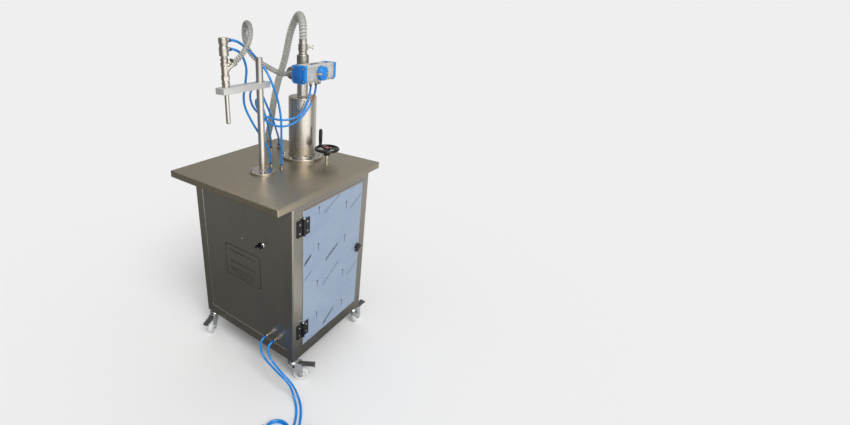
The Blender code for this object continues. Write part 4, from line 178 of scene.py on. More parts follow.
SUPPLY_ROUTE_2 = [
    (0.186, -0.2456, -0.596), (0.186, -0.257, -0.596), (0.187, -0.270, -0.602), (0.189, -0.276, -0.618),
    (0.197, -0.279, -0.635), (0.219, -0.281, -0.653), (0.241, -0.283, -0.662), (0.261, -0.2845, -0.669),
    (0.280, -0.285, -0.677), (0.296, -0.281, -0.689), (0.306, -0.275, -0.707), (0.312, -0.266, -0.733),
    (0.320, -0.261, -0.757), (0.338, -0.269, -0.7690), (0.363, -0.290, -0.7711), (0.397, -0.334, -0.7713),
    (0.4085, -0.354, -0.7713), (0.4185, -0.3734, -0.7713), (0.4226, -0.3822, -0.7713),
]
AIR_TUBE = 0.008
OUTLET_HOSE = 0.018
SUCTION_HOSE = 0.030
GAP = 0.0003
COIL_RADIUS = 0.050
COIL_PITCH = 0.0096
LOOP_POINTS = 24


class Look:
    """A material under construction: its principled shader and a few ways to feed it."""

    def __init__(self, name, colour, roughness, metallic=0, **values):
        self.material = bpy.data.materials.new(name)
        self.material.use_nodes = True
        self.tree = self.material.node_tree
        self.shader = self.tree.nodes["Principled BSDF"]
        self.shader.inputs["Base Color"].default_value = (*colour, 1)
        self.shader.inputs["Roughness"].default_value = roughness
        self.shader.inputs["Metallic"].default_value = metallic
        for socket, value in values.items():
            self.shader.inputs[socket.replace("_", " ")].default_value = value
        self.colour, self.roughness, self.height = colour, roughness, None
        self.place = self.node("ShaderNodeTexCoord").outputs["Object"]

    def node(self, kind, **settings):
        return add_node(self.tree, kind, **settings)

    def link(self, source, target):
        self.tree.links.new(source, target)

    def noise(self, scale, stretch=(1, 1, 1), detail=3, roughness=0.5):
        """Noise in metres: scale is per metre, and a stretch over 1 packs it closer that way."""
        mapping = self.node("ShaderNodeMapping")
        mapping.inputs["Scale"].default_value = stretch
        self.link(self.place, mapping.inputs["Vector"])
        made = self.node("ShaderNodeTexNoise")
        made.inputs["Scale"].default_value = scale
        made.inputs["Detail"].default_value = detail
        made.inputs["Roughness"].default_value = roughness
        self.link(mapping.outputs["Vector"], made.inputs["Vector"])
        return made.outputs["Fac"]

    def spread(self, source, low, high, from_low=0.3, from_high=0.7):
        return map_range(self.tree, source, from_low, from_high, low, high)

    def tint(self, source, colour, share=1.0):
        """Mixes another colour over the colour so far, where the source says."""
        mix = self.node("ShaderNodeMix", data_type="RGBA")
        old = self.shader.inputs["Base Color"]
        if old.is_linked:
            self.link(old.links[0].from_socket, mix.inputs["A"])
        else:
            mix.inputs["A"].default_value = old.default_value
        mix.inputs["B"].default_value = (*colour, 1)
        self.link(self.spread(source, 0, share), mix.inputs["Factor"])
        self.link(mix.outputs["Result"], old)

    def rough(self, source, amount):
        self.link(self.spread(source, self.roughness - amount, self.roughness + amount),
                  self.shader.inputs["Roughness"])

    def bump(self, source, strength, distance=0.0004):
        made = self.node("ShaderNodeBump")
        made.inputs["Strength"].default_value = strength
        made.inputs["Distance"].default_value = distance
        self.link(source, made.inputs["Height"])
        if self.height:
            self.link(self.height, made.inputs["Normal"])
        self.height = made.outputs["Normal"]
        self.link(self.height, self.shader.inputs["Normal"])


def steel(name, colour, roughness, grain, smudge=0.5, strength=0.05, metallic=1):
    """Brushed sheet: fine lines across the grain's stretch, uneven sheen and smudges."""
    look = Look(name, colour, roughness, metallic)
    lines = look.noise(60, grain, 2, 0.6)
    clouds = look.noise(7, detail=4)
    look.tint(clouds, tuple(c * 0.80 for c in colour), smudge)
    look.tint(look.noise(38, grain, 1), tuple(min(1, c * 1.12) for c in colour), 0.55)
    look.rough(clouds, 0.07)
    look.bump(lines, strength, 0.0003)
    return look.material


def plastic(name, colour, roughness, grain=900, strength=0.06, **values):
    """Moulded plastic with a fine grain and a little uneven shine."""
    look = Look(name, colour, roughness, 0, **values)
    clouds = look.noise(30, detail=3)
    look.tint(clouds, tuple(min(1, c * 1.25 + 0.004) for c in colour), 0.5)
    look.rough(clouds, 0.05)
    look.bump(look.noise(grain, detail=2), strength, 0.0002)
    return look.material


def cast_metal(name, colour, roughness, strength=0.16, metallic=1):
    """Blasted or cast metal with a fine grain and darker pockets."""
    look = Look(name, colour, roughness, metallic)
    grain = look.noise(700, (1, 1, 1), 3, 0.6)
    clouds = look.noise(45, detail=4)
    look.tint(clouds, tuple(c * 0.66 for c in colour), 0.8)
    look.rough(clouds, 0.08)
    look.bump(grain, strength, 0.0004)
    return look.material


def film_look():
    """Blue protective film over steel: cloudy, with creases and fine scratches."""
    look = Look("protective_film", (0.3, 0.385, 0.52), 0.3, 0, Coat_Weight=0.25, Coat_Roughness=0.12,
                Specular_IOR_Level=0.6)
    clouds = look.noise(6, (1, 1, 1.6), 4)
    look.tint(clouds, (0.375, 0.455, 0.580), 0.75)
    streaks = look.noise(14, (1, 5, 0.6), 3)
    look.tint(streaks, (0.30, 0.39, 0.54), 0.55)
    scratches = look.noise(30, (1, 9, 1.4), 2, 0.7)
    look.tint(look.spread(scratches, 0, 1, 0.66, 0.72), (0.52, 0.60, 0.72), 0.35)
    look.rough(clouds, 0.08)
    look.bump(look.noise(26, (1, 1, 0.5), 3), 0.22, 0.0012)
    look.bump(scratches, 0.10, 0.0006)
    return look.material


def tube_look():
    """Blue polyurethane tube: deep, glossy, a little uneven."""
    look = Look("blue_tube", (0.001, 0.225, 0.66), 0.2, 0, Coat_Weight=0.2, Coat_Roughness=0.08,
                Subsurface_Weight=0.04, Subsurface_Scale=0.002)
    clouds = look.noise(40, detail=3)
    look.tint(clouds, (0.002, 0.280, 0.800), 0.7)
    look.rough(clouds, 0.05)
    look.bump(look.noise(260, detail=2), 0.04, 0.0004)
    return look.material


def hose_look(name, colour, alpha, roughness, cloud_colour):
    """Soft vinyl that lets some light through."""
    look = Look(name, colour, roughness, 0, Alpha=alpha, Coat_Weight=0.4, Coat_Roughness=0.1)
    clouds = look.noise(35, detail=4)
    look.tint(clouds, cloud_colour, 0.7)
    look.rough(clouds, 0.06)
    look.bump(look.noise(220, detail=2), 0.10, 0.0005)
    look.material.surface_render_method = "DITHERED"
    return look.material


def pedal_look():
    """Dark cast pedal with lighter worn patches."""
    look = Look("dark_pedal", (0.045, 0.045, 0.043), 0.42, 0)
    clouds = look.noise(60, detail=4)
    look.tint(clouds, (0.10, 0.10, 0.095), 0.9)
    look.rough(clouds, 0.12)
    look.bump(look.noise(600, detail=3), 0.14, 0.0004)
    return look.material


def make_looks():
    warm = (0.560, 0.525, 0.465)
    return {"table": steel("table_steel", (0.51, 0.45, 0.345), 0.37, (1, 14, 1), 0.8, 0.05),
            "frame": steel("frame_steel", (0.48, 0.452, 0.4), 0.34, (9, 9, 0.7), 0.6, 0.05),
            "panel": steel("panel_steel", (0.47, 0.445, 0.395), 0.4, (12, 1, 0.6), 0.5, 0.04),
            "turned": steel("turned_steel", (0.64, 0.6, 0.53), 0.2, (1, 1, 16), 0.4, 0.03),
            "polished": steel("polished_steel", (0.7, 0.665, 0.6), 0.16, (1, 1, 10), 0.3, 0.02),
            "bar": steel("bar_steel", (0.83, 0.82, 0.79), 0.46, (1, 0.6, 9), 0.4, 0.1, 0.75),
            "cast": cast_metal("valve_steel", (0.52, 0.485, 0.425), 0.34),
            "fitting": cast_metal("nickel_fitting", warm, 0.24, 0.05),
            "zinc": cast_metal("zinc_plate", (0.64, 0.665, 0.67), 0.38, 0.06, 0.45),
            "chrome": cast_metal("bright_chrome", (0.72, 0.725, 0.73), 0.1, 0.02),
            "bead": cast_metal("weld_bead", (0.43, 0.4, 0.35), 0.34, 0.1),
            # brighter steel: painted highlight on the front seams and on the door's rim
            "painted_highlight_steel": steel("steel_painted_highlight", (0.64, 0.61, 0.55), 0.32, (1, 1, 6), 0.3, 0.05),
            "barrel": steel("cylinder_steel", (0.64, 0.6, 0.53), 0.22, (1, 1, 22), 0.4, 0.02),
            # a darker copy of the blue enamel; on the actuator's front dome it is painted shade
            "dark_blue_and_painted_shade": plastic("dark_blue_enamel_and_painted_shade", (0.002, 0.125, 0.45), 0.26, 260, 0.1, Coat_Weight=0.35,
                                 Coat_Roughness=0.12),
            "tread": plastic("wheel_tread", (0.68, 0.7, 0.7), 0.4, 300, 0.08),
            "bolt": cast_metal("bolt_steel", (0.6, 0.57, 0.51), 0.22, 0.04),
            "aluminium": cast_metal("anodised_aluminium", (0.76, 0.755, 0.725), 0.42, 0.2, 0.3),
            "film": film_look(), "ink": plastic("print_ink", (0.03, 0.034, 0.05), 0.55, 400),
            # near-black of the engraved lines; on the bead by the right post it is painted shade
            "engraving_and_painted_shade": plastic("engraved_line_and_painted_shade", (0.03, 0.027, 0.022), 0.6, 300),
            "black": plastic("black_plastic", (0.01, 0.01, 0.011), 0.34, 900, 0.12),
            "gloss_black": plastic("gloss_black", (0.006, 0.006, 0.007), 0.18, 500, 0.03),
            "nylon": plastic("white_nylon", (0.76, 0.77, 0.765), 0.3, 500, 0.06), "pedal": pedal_look(),
            "blue": plastic("blue_enamel", (0.001, 0.245, 0.72), 0.24, 260, 0.1, Coat_Weight=0.35,
                            Coat_Roughness=0.12),
            "mark": plastic("yellow_mark", (0.72, 0.44, 0.15), 0.42, 500),
            "orange": plastic("orange_cap", (0.62, 0.115, 0.04), 0.4, 500),
            "collet": plastic("navy_collet", (0.006, 0.012, 0.19), 0.3, 500),
            "tape": plastic("brown_tape", (0.23, 0.13, 0.035), 0.45, 300, 0.3), "tube": tube_look(),
            "suction": hose_look("suction_vinyl", (0.62, 0.625, 0.57), 0.84, 0.34, (0.48, 0.49, 0.44)),
            "clear": hose_look("clear_vinyl", (0.64, 0.635, 0.59), 0.36, 0.16, (0.53, 0.53, 0.48)),
            "wire": cast_metal("hose_wire", (0.13, 0.125, 0.11), 0.34, 0.04),
            "spiral": plastic("hose_spiral", (0.19, 0.195, 0.17), 0.36, 300, 0.06),
            "rubber": plastic("seal_rubber", (0.02, 0.02, 0.02), 0.6, 700, 0.2)}


# Shapes

def lathe(profile, steps=64, ring=False):
    """Turns (radius, height) points round the Z axis; a ring's profile closes on itself."""
    bm = bmesh.new()
    rows = []
    for radius, height in profile:
        if radius < 1e-6:
            rows.append([bm.verts.new((0, 0, height))])
            continue
        angles = [2 * math.pi * i / steps for i in range(steps)]
        rows.append([bm.verts.new((radius * math.cos(a), radius * math.sin(a), height)) for a in angles])
    pairs = list(zip(rows, rows[1:]))
    if ring:
        pairs.append((rows[-1], rows[0]))
    for low, high in pairs:
        for i in range(steps):
            j = (i + 1) % steps
            if len(low) == 1:
                bm.faces.new((low[0], high[j], high[i]))
            elif len(high) == 1:
                bm.faces.new((low[i], low[j], high[0]))
            else:
                bm.faces.new((low[i], low[j], high[j], high[i]))
    bmesh.ops.recalc_face_normals(bm, faces=bm.faces)
    return bm


def soften(profile, size=0.0008, steps=3):
    """Rounds the corners of a profile, all but its two ends."""
    points = [Vector(p) for p in profile]
    made = [points[0]]
    for before, corner, after in zip(points, points[1:], points[2:]):
        back, on = before - corner, after - corner
        cut = min(size, back.length * 0.45, on.length * 0.45)
        start, end = corner + back.normalized() * cut, corner + on.normalized() * cut
        for i in range(steps + 1):
            t = i / steps
            made.append(start * (1 - t) ** 2 + corner * 2 * t * (1 - t) + end * t ** 2)
    made.append(points[-1])
    return [(p.x, p.y) for p in made]


def mm(points):
    """Points in millimetres as points in metres."""
    return [tuple(value / 1000 for value in point) for point in points]


def turned_shape(profile, size=0.0008, steps=64):
    return lathe(soften(profile, size), steps)


def ring_shape(profile, size=0.0008, steps=64, rounds=3):
    """A turned shape whose profile closes on itself, so that a hole stays in its middle."""
    return lathe(soften(profile, size, rounds), steps, True)


def box(x0, x1, y0, y1, z0, z1, edge=0.0, segments=3):
    """A block between two corners with rounded edges."""
    bm = bmesh.new()
    size = Matrix.Diagonal((x1 - x0, y1 - y0, z1 - z0, 1))
    bmesh.ops.create_cube(bm, size=1,
                          matrix=Matrix.Translation(((x0 + x1) / 2, (y0 + y1) / 2, (z0 + z1) / 2)) @ size)
    if edge:
        bmesh.ops.bevel(bm, geom=list(bm.edges), offset=edge, segments=segments, affect="EDGES", profile=0.5)
    return bm


def slab(outline, low, high, edge=0.0, segments=2):
    """A flat outline of (x, y) points with a thickness and rounded edges."""
    bm = bmesh.new()
    face = bm.faces.new([bm.verts.new((x, y, low)) for x, y in outline])
    made = bmesh.ops.extrude_face_region(bm, geom=[face])
    top = [v for v in made["geom"] if isinstance(v, bmesh.types.BMVert)]
    bmesh.ops.translate(bm, vec=(0, 0, high - low), verts=top)
    bmesh.ops.recalc_face_normals(bm, faces=bm.faces)
    if edge:
        rim = [e for e in bm.edges if abs(e.verts[0].co.z - e.verts[1].co.z) < 1e-7]
        bmesh.ops.bevel(bm, geom=rim, offset=edge, segments=segments, affect="EDGES", profile=0.5)
    return bm


def hexagon(flat, low, high, edge=0.0005):
    corner = flat / math.cos(math.pi / 6)
    outline = [(corner * math.cos(math.pi * i / 3), corner * math.sin(math.pi * i / 3)) for i in range(6)]
    return slab(outline, low, high, edge)


def rod(radius, start, end, edge=0.0, steps=40):
    start = Vector(start)
    along = Vector(end) - start
    profile = [(0, 0), (radius, 0), (radius, along.length), (0, along.length)]
    return aimed(lathe(soften(profile, edge) if edge else profile, steps), along, start)


def turn_to(direction):
    direction = Vector(direction).normalized()
    if abs(direction.z) > 1 - 1e-6:
        return Matrix.Rotation(0 if direction.z > 0 else math.pi, 4, "X")
    side = Vector((0, 0, 1)).cross(direction).normalized()
    return Matrix((side, direction.cross(side), direction)).transposed().to_4x4()


def aimed(bm, direction, at=(0, 0, 0)):
    """Turns a shape made along +Z so that it points in a direction, and moves it."""
    bmesh.ops.transform(bm, matrix=Matrix.Translation(at) @ turn_to(direction), verts=bm.verts)
    return bm


def moved(bm, x=0, y=0, z=0):
    bmesh.ops.translate(bm, vec=(x, y, z), verts=bm.verts)
    return bm


def turned(bm, angle, axis="Z"):
    bmesh.ops.transform(bm, matrix=Matrix.Rotation(angle, 4, axis), verts=bm.verts)
    return bm


def together(*shapes):
    """Several shapes in one, as they are."""
    made = bmesh.new()
    for shape in shapes:
        mesh = bpy.data.meshes.new("spare")
        shape.to_mesh(mesh)
        shape.free()
        made.from_mesh(mesh)
        bpy.data.meshes.remove(mesh)
    return made


def cut(base_shape, *tools):
    """Cuts the tools out of the base shape."""
    made = []
    for shape in (base_shape, *tools):
        mesh = bpy.data.meshes.new("spare")
        shape.to_mesh(mesh)
        shape.free()
        made.append(bpy.data.objects.new("spare", mesh))
        bpy.context.scene.collection.objects.link(made[-1])
    for tool in made[1:]:
        step = made[0].modifiers.new("step", "BOOLEAN")
        step.operation = "DIFFERENCE"
        step.object = tool
    result = bmesh.new()
    shaped = made[0].evaluated_get(bpy.context.evaluated_depsgraph_get())
    result.from_mesh(shaped.to_mesh())
    shaped.to_mesh_clear()
    for used in made:
        mesh = used.data
        bpy.data.objects.remove(used)
        bpy.data.meshes.remove(mesh)
    return result


def add(name, bm, look, stands_for=(), body="machine_frame", slot=None, angle=0.6, at=(0, 0, 0), heading=0.0):
    """Makes a piece of a shape in design coordinates and puts it on a body."""
    mesh = bpy.data.meshes.new(name)
    bm.to_mesh(mesh)
    bm.free()
    mesh.shade_smooth()
    if angle:
        mesh.set_sharp_from_angle(angle=angle)
    mesh.materials.append(looks[look])
    made = bpy.data.objects.new(name, mesh)
    made.matrix_world = Matrix.Translation(ORIGIN + Vector(at)) @ Matrix.Rotation(heading, 4, "Z")
    bpy.context.scene.collection.objects.link(made)
    if body:
        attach(made, body)
    if stands_for:
        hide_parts(*stands_for)
    return made


def smooth_route(points, step):
    """Points at an even spacing along a smooth curve through a route."""
    points = [Vector(p) for p in points]
    runs = [b - a for a, b in zip(points, points[1:])]
    lengths = [run.length for run in runs]
    slopes = [runs[0].normalized()]
    for i in range(1, len(points) - 1):
        before, after = lengths[i - 1], lengths[i]
        slope = runs[i - 1] / before * after + runs[i] / after * before
        slopes.append(slope / (before + after))
    slopes.append(runs[-1].normalized())
    slopes[1] = slopes[0]
    slopes[-2] = slopes[-1]
    dense = [points[1]]
    for i in range(1, len(points) - 2):
        near = points[i] + slopes[i] * lengths[i] / 3
        far = points[i + 1] - slopes[i + 1] * lengths[i] / 3
        dense.extend(interpolate_bezier(points[i], near, far, points[i + 1], 24)[1:])
    return spaced(points[:2], step)[:-1] + spaced(dense, step) + spaced(points[-2:], step)[1:]


def spaced(dense, step):
    """The same line as points at an even spacing."""
    reached = [0]
    for a, b in zip(dense, dense[1:]):
        reached.append(reached[-1] + (b - a).length)
    count = max(2, round(reached[-1] / step))
    even, at = [], 0
    for i in range(count + 1):
        goal = reached[-1] * i / count
        while at < len(dense) - 2 and reached[at + 1] < goal:
            at += 1
        share = (goal - reached[at]) / (reached[at + 1] - reached[at])
        even.append(dense[at].lerp(dense[at + 1], min(1, share)))
    return even


def eased(points, rounds=24, kept=3):
    """The same points with small kinks evened out; the ends stay."""
    points = [Vector(p) for p in points]
    for _ in range(rounds):
        inner = range(kept, len(points) - kept)
        middle = [points[i] * 0.5 + (points[i - 1] + points[i + 1]) * 0.25 for i in inner]
        points[kept:len(points) - kept] = middle
    return points


def length_of(points):
    return sum((b - a).length for a, b in zip(points, points[1:]))


def frames_along(points):
    """Two directions across a line at each of its points, carried along without twist."""
    points = [Vector(p) for p in points]
    along = (points[1] - points[0]).normalized()
    side = along.orthogonal().normalized()
    made = []
    for i, point in enumerate(points):
        ahead = points[min(i + 1, len(points) - 1)] - points[max(i - 1, 0)]
        ahead.normalize()
        side = (side - ahead * side.dot(ahead)).normalized()
        made.append((point, side, ahead.cross(side)))
    return made


def sweep(points, radius_at, steps=24, bore=0.0):
    """A tube along points whose radius may change along it and round it.

    radius_at takes the length reached and the angle. A bore leaves the tube open.
    """
    bm = bmesh.new()
    angles = [2 * math.pi * i / steps for i in range(steps)]
    frames = frames_along(points)
    reached, outer, inner = 0, [], []
    for i, (point, side, other) in enumerate(frames):
        if i:
            reached += (point - frames[i - 1][0]).length
        ways = [(a, side * math.cos(a) + other * math.sin(a)) for a in angles]
        outer.append([bm.verts.new(point + way * radius_at(reached, a)) for a, way in ways])
        if bore:
            inner.append([bm.verts.new(point + way * bore) for a, way in ways])
    layers = [outer, inner] if bore else [outer]
    for rows in layers:
        for low, high in zip(rows, rows[1:]):
            for i in range(steps):
                j = (i + 1) % steps
                bm.faces.new((low[i], low[j], high[j], high[i]))
    if bore:
        for row_out, row_in in ((outer[0], inner[0]), (outer[-1], inner[-1])):
            for i in range(steps):
                j = (i + 1) % steps
                bm.faces.new((row_out[i], row_out[j], row_in[j], row_in[i]))
    else:
        bm.faces.new(outer[0])
        bm.faces.new(outer[-1])
    bmesh.ops.recalc_face_normals(bm, faces=bm.faces)
    return bm


def helix_about(points, radius, pitch, step_angle=0.55):
    """Points of a helix round a line."""
    dense = spaced([Vector(p) for p in points], pitch * step_angle / (2 * math.pi))
    made = []
    for i, (point, side, other) in enumerate(frames_along(dense)):
        a = i * step_angle
        made.append(point + (side * math.cos(a) + other * math.sin(a)) * radius)
    return made


# Stage: camera, sky, floor and lamp

def make_camera():
    azimuth, elevation = math.radians(CAMERA_AZIMUTH), math.radians(CAMERA_ELEVATION)
    right = Vector((math.cos(azimuth), math.sin(azimuth), 0))
    back = Vector((math.sin(azimuth) * math.cos(elevation), -math.cos(azimuth) * math.cos(elevation),
                   math.sin(elevation)))
    up = back.cross(right)
    data = bpy.data.cameras.new("camera")
    data.sensor_width = SENSOR
    data.lens = FOCAL_PIXELS / PHOTO_WIDTH * SENSOR
    data.shift_x = (PHOTO_WIDTH / 2 - PRINCIPAL_POINT[0]) / PHOTO_WIDTH
    data.shift_y = (PRINCIPAL_POINT[1] - PHOTO_HEIGHT / 2) / PHOTO_WIDTH
    data.clip_start, data.clip_end = 0.05, 1000
    camera = bpy.data.objects.new("camera", data)
    turn = Matrix((right, up, back)).transposed().to_4x4()
    camera.matrix_world = Matrix.Translation(ORIGIN + CAMERA_PLACE) @ turn
    bpy.context.scene.collection.objects.link(camera)
    bpy.context.scene.camera = camera
    bpy.context.scene.view_settings.view_transform = "Standard"


def add_node(tree, kind, **settings):
    made = tree.nodes.new(kind)
    for key, value in settings.items():
        setattr(made, key, value)
    return made


def map_range(tree, source, *limits, **settings):
    """Maps a value by its limits: from the lowest and highest, to the lowest and highest."""
    made = add_node(tree, "ShaderNodeMapRange", **settings)
    for socket, value in zip(("From Min", "From Max", "To Min", "To Max"), limits):
        made.inputs[socket].default_value = value
    tree.links.new(source, made.inputs["Value"])
    return made.outputs["Result"]


def mixed(tree, factor, first, second):
    mix = tree.nodes.new("ShaderNodeMixShader")
    for source, socket in zip((factor, first, second), mix.inputs):
        tree.links.new(source, socket)
    return mix.outputs[0]


def studio_ramp(tree, vector):
    """Brightness by compass direction, from the list of levels."""
    turn = add_node(tree, "ShaderNodeTexGradient", gradient_type="RADIAL")
    tree.links.new(vector, turn.inputs["Vector"])
    ramp = tree.nodes.new("ShaderNodeValToRGB")
    ramp.color_ramp.interpolation = "EASE"
    elements = ramp.color_ramp.elements
    while len(elements) > 1:
        elements.remove(elements[-1])
    for i, (degrees, level) in enumerate(STUDIO_LEVELS):
        at = degrees / 360 + 0.5
        element = elements[0] if i == 0 else elements.new(at)
        element.position = at
        element.color = (level * BACKGROUND, level * BACKGROUND, level * BACKGROUND, 1)
    tree.links.new(turn.outputs["Fac"], ramp.inputs["Fac"])
    return ramp.outputs["Color"]


def make_sky():
    """A plain sky for light and camera, and the studio's levels for what metal mirrors."""
    world = bpy.data.worlds.new("sky")
    world.use_nodes = True
    bpy.context.scene.world = world
    tree = world.node_tree
    tree.nodes.clear()
    link = tree.links.new
    path = tree.nodes.new("ShaderNodeLightPath")
    direction = tree.nodes.new("ShaderNodeTexCoord").outputs["Generated"]
    parts = tree.nodes.new("ShaderNodeSeparateXYZ")
    link(direction, parts.inputs["Vector"])
    ceiling = add_node(tree, "ShaderNodeMix", data_type="RGBA")
    ceiling.inputs["B"].default_value = (CEILING_LEVEL, CEILING_LEVEL, CEILING_LEVEL, 1)
    link(map_range(tree, parts.outputs["Z"], 0.45, 0.95, 0, 1, interpolation_type="SMOOTHSTEP"),
         ceiling.inputs["Factor"])
    link(studio_ramp(tree, direction), ceiling.inputs["A"])
    diffuse, mirrored, seen = (tree.nodes.new("ShaderNodeBackground") for _ in range(3))
    diffuse.inputs["Color"].default_value = (1, 1, 1, 1)
    diffuse.inputs["Strength"].default_value = SKY_LEVEL
    link(ceiling.outputs["Result"], mirrored.inputs["Color"])
    seen.inputs["Color"].default_value = (BACKGROUND, BACKGROUND, BACKGROUND, 1)
    clear = add_node(tree, "ShaderNodeMath", operation="MAXIMUM")
    link(path.outputs["Is Camera Ray"], clear.inputs[0])
    link(path.outputs["Is Transmission Ray"], clear.inputs[1])
    lit = mixed(tree, path.outputs["Is Glossy Ray"], diffuse.outputs[0], mirrored.outputs[0])
    out = tree.nodes.new("ShaderNodeOutputWorld")
    link(mixed(tree, clear.outputs[0], lit, seen.outputs[0]), out.inputs["Surface"])


def make_floor():
    """A wide pale floor that keeps the shadow; metal mirrors the studio's levels in it, dimmed near the
    object as a painted shadow.
    """
    mesh = bpy.data.meshes.new("floor")
    corners = [(x * FLOOR_SIZE, y * FLOOR_SIZE, 0) for x, y in ((-1, -1), (1, -1), (1, 1), (-1, 1))]
    mesh.from_pydata(corners, [], [(0, 1, 2, 3)])
    floor = bpy.data.objects.new("floor", mesh)
    floor.location = (0, 0, -0.0002)
    bpy.context.scene.collection.objects.link(floor)
    material = bpy.data.materials.new("floor")
    material.use_nodes = True
    material.cycles.emission_sampling = "NONE"
    tree = material.node_tree
    tree.nodes.clear()
    link = tree.links.new
    path = tree.nodes.new("ShaderNodeLightPath")
    plain = tree.nodes.new("ShaderNodeBsdfDiffuse")
    plain.inputs["Color"].default_value = (FLOOR_COLOUR, FLOOR_COLOUR, FLOOR_COLOUR, 1)
    place = tree.nodes.new("ShaderNodeTexCoord").outputs["Object"]
    shift = tree.nodes.new("ShaderNodeMapping")
    shift.inputs["Location"].default_value = (-STUDIO_MIDDLE[0], -STUDIO_MIDDLE[1], 0)
    link(place, shift.inputs["Vector"])
    reach = add_node(tree, "ShaderNodeVectorMath", operation="LENGTH")
    link(place, reach.inputs[0])
    mirrored = tree.nodes.new("ShaderNodeEmission")
    link(studio_ramp(tree, shift.outputs["Vector"]), mirrored.inputs["Color"])
    # What metal mirrors of the floor is dimmed near the object: a painted shadow, as these glossy rays see no
    # real one.
    link(map_range(tree, reach.outputs["Value"], *MIRRORED_FLOOR_PAINTED_SHADOW, interpolation_type="SMOOTHSTEP"),
         mirrored.inputs["Strength"])
    out = tree.nodes.new("ShaderNodeOutputMaterial")
    link(mixed(tree, path.outputs["Is Glossy Ray"], plain.outputs[0], mirrored.outputs[0]),
         out.inputs["Surface"])
    mesh.materials.append(material)


def make_lamp():
    data = bpy.data.lights.new("key", "SUN")
    data.energy = SUN_STRENGTH
    data.angle = math.radians(SUN_WIDTH)
    lamp = bpy.data.objects.new("key", data)
    azimuth, elevation = math.radians(SUN_AZIMUTH), math.radians(SUN_ELEVATION)
    towards = Vector((math.cos(azimuth) * math.cos(elevation), math.sin(azimuth) * math.cos(elevation),
                      math.sin(elevation)))
    lamp.matrix_world = turn_to(towards)
    bpy.context.scene.collection.objects.link(lamp)


# Hoses and tubes

def in_row(points):
    return [tuple(Vector(p) + ORIGIN) for p in points]


def tube_piece(name, points, diameter, look, stands_for, blend=None,
               bm=None):
    """A tube along points; with a blend it stays off the bodies, its placement baked into its mesh."""
    bm = bm or sweep(points, lambda reached, angle: diameter / 2, 20)
    made = add(name, bm, look, stands_for, None if blend else "machine_frame", angle=0)
    if blend:
        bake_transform(made)
    path = in_row(spaced([Vector(p) for p in points], diameter / 2))
    return made


def arm_blend(route):
    """The stretch over which a tube passes from the frame's movement to the arm's."""
    ends = [Vector(route[1]) + ORIGIN, Vector(route[-2]) + ORIGIN]
    if route[0][1] < route[-1][1]:
        ends.reverse()
    return ends


def coil_points(start, heading, side):
    """A flat coil in two layers that begins straight, spirals in, climbs and spirals out."""
    start, heading = Vector(start), Vector(heading).normalized()
    turn_way = Vector((-heading.y, heading.x, 0)) * side
    entry = start + heading * AIR_TUBE
    centre = entry + turn_way * COIL_RADIUS
    first = math.atan2(entry.y - centre.y, entry.x - centre.x)
    points = [start]
    climb = LOOP_POINTS // 2
    for i in range(2 * LOOP_POINTS + climb + 1):
        if i <= LOOP_POINTS:
            inward, lift = i, 0
        elif i < LOOP_POINTS + climb:
            inward, lift = LOOP_POINTS, (i - LOOP_POINTS) / climb
        else:
            inward, lift = 2 * LOOP_POINTS + climb - i, 1
        radius = COIL_RADIUS - COIL_PITCH * inward / LOOP_POINTS
        angle = first + side * 2 * math.pi * i / LOOP_POINTS
        points.append(Vector((centre.x + radius * math.cos(angle), centre.y + radius * math.sin(angle),
                              start.z + lift * COIL_PITCH)))
    points.append(points[-1] + (points[-1] - points[-2]).normalized() * AIR_TUBE)
    return points


def suction_hose():
    """Ribbed hose with a helical rib, open at both ends."""
    pitch, depth = 0.0100, 0.0026
    points = eased(smooth_route(SUCTION_ROUTE, pitch / 6), 200, 6)
    outer = SUCTION_HOSE / 2

    def radius_at(reached, angle):
        return outer - depth * (0.5 + 0.5 * math.cos(2 * math.pi * reached / pitch - angle))

    line = helix_about(points[2:-2], outer - 0.0015, pitch, 0.6)
    spiral = add("suction_hose_spiral", sweep(line, lambda r, a: 0.0015, 6), "spiral", angle=0)
    bm = sweep(points, radius_at, 28, 0.0105)
    tube_piece("suction_hose_ribbed", points, SUCTION_HOSE, "suction", ("suction_hose",), bm=bm)


def outlet_hose():
    """Clear hose with a steel wire wound inside its wall."""
    points = eased(smooth_route(OUTLET_ROUTE, 0.0025), 30)
    blend = arm_blend(OUTLET_ROUTE)
    wire_line = helix_about(points[1:-1], OUTLET_HOSE / 2 - 0.0012, 0.0075)
    wire = add("outlet_hose_wire", sweep(wire_line, lambda r, a: 0.001, 6), "wire", body=None, angle=0)
    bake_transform(wire)
    bm = sweep(points, lambda r, a: OUTLET_HOSE / 2, 28, OUTLET_HOSE / 2 - 0.003)
    tube_piece("outlet_hose_clear", points, OUTLET_HOSE, "clear", ("outlet_hose",), blend, bm=bm)


def air_tubes():
    """The four air tubes on the table, and the piece of tape round the last one."""
    step = 0.0025
    for letter, route, crosses in (("a", AIR_ROUTE_A, True), ("b", AIR_ROUTE_B, True),
                                   ("c", AIR_ROUTE_C, False), ("d", AIR_ROUTE_D, False)):
        name = "air_tube_" + letter
        points = eased(smooth_route(route, step), 80)
        tube_piece(name + "_soft", points, AIR_TUBE, "tube", (name,),
                   arm_blend(route) if crosses else None)
    tape = eased(smooth_route(AIR_ROUTE_D, step), 80)
    start = min(range(len(tape)), key=lambda i: abs(length_of(tape[:i + 1]) - 0.040))
    stop = min(range(len(tape)), key=lambda i: abs(length_of(tape[:i + 1]) - 0.080))
    add("air_tube_tape",
        sweep(tape[start:stop], lambda r, a: AIR_TUBE / 2 + 0.0003 + 0.0001 * math.sin(a * 3 + r * 400), 20),
        "tape", angle=0)


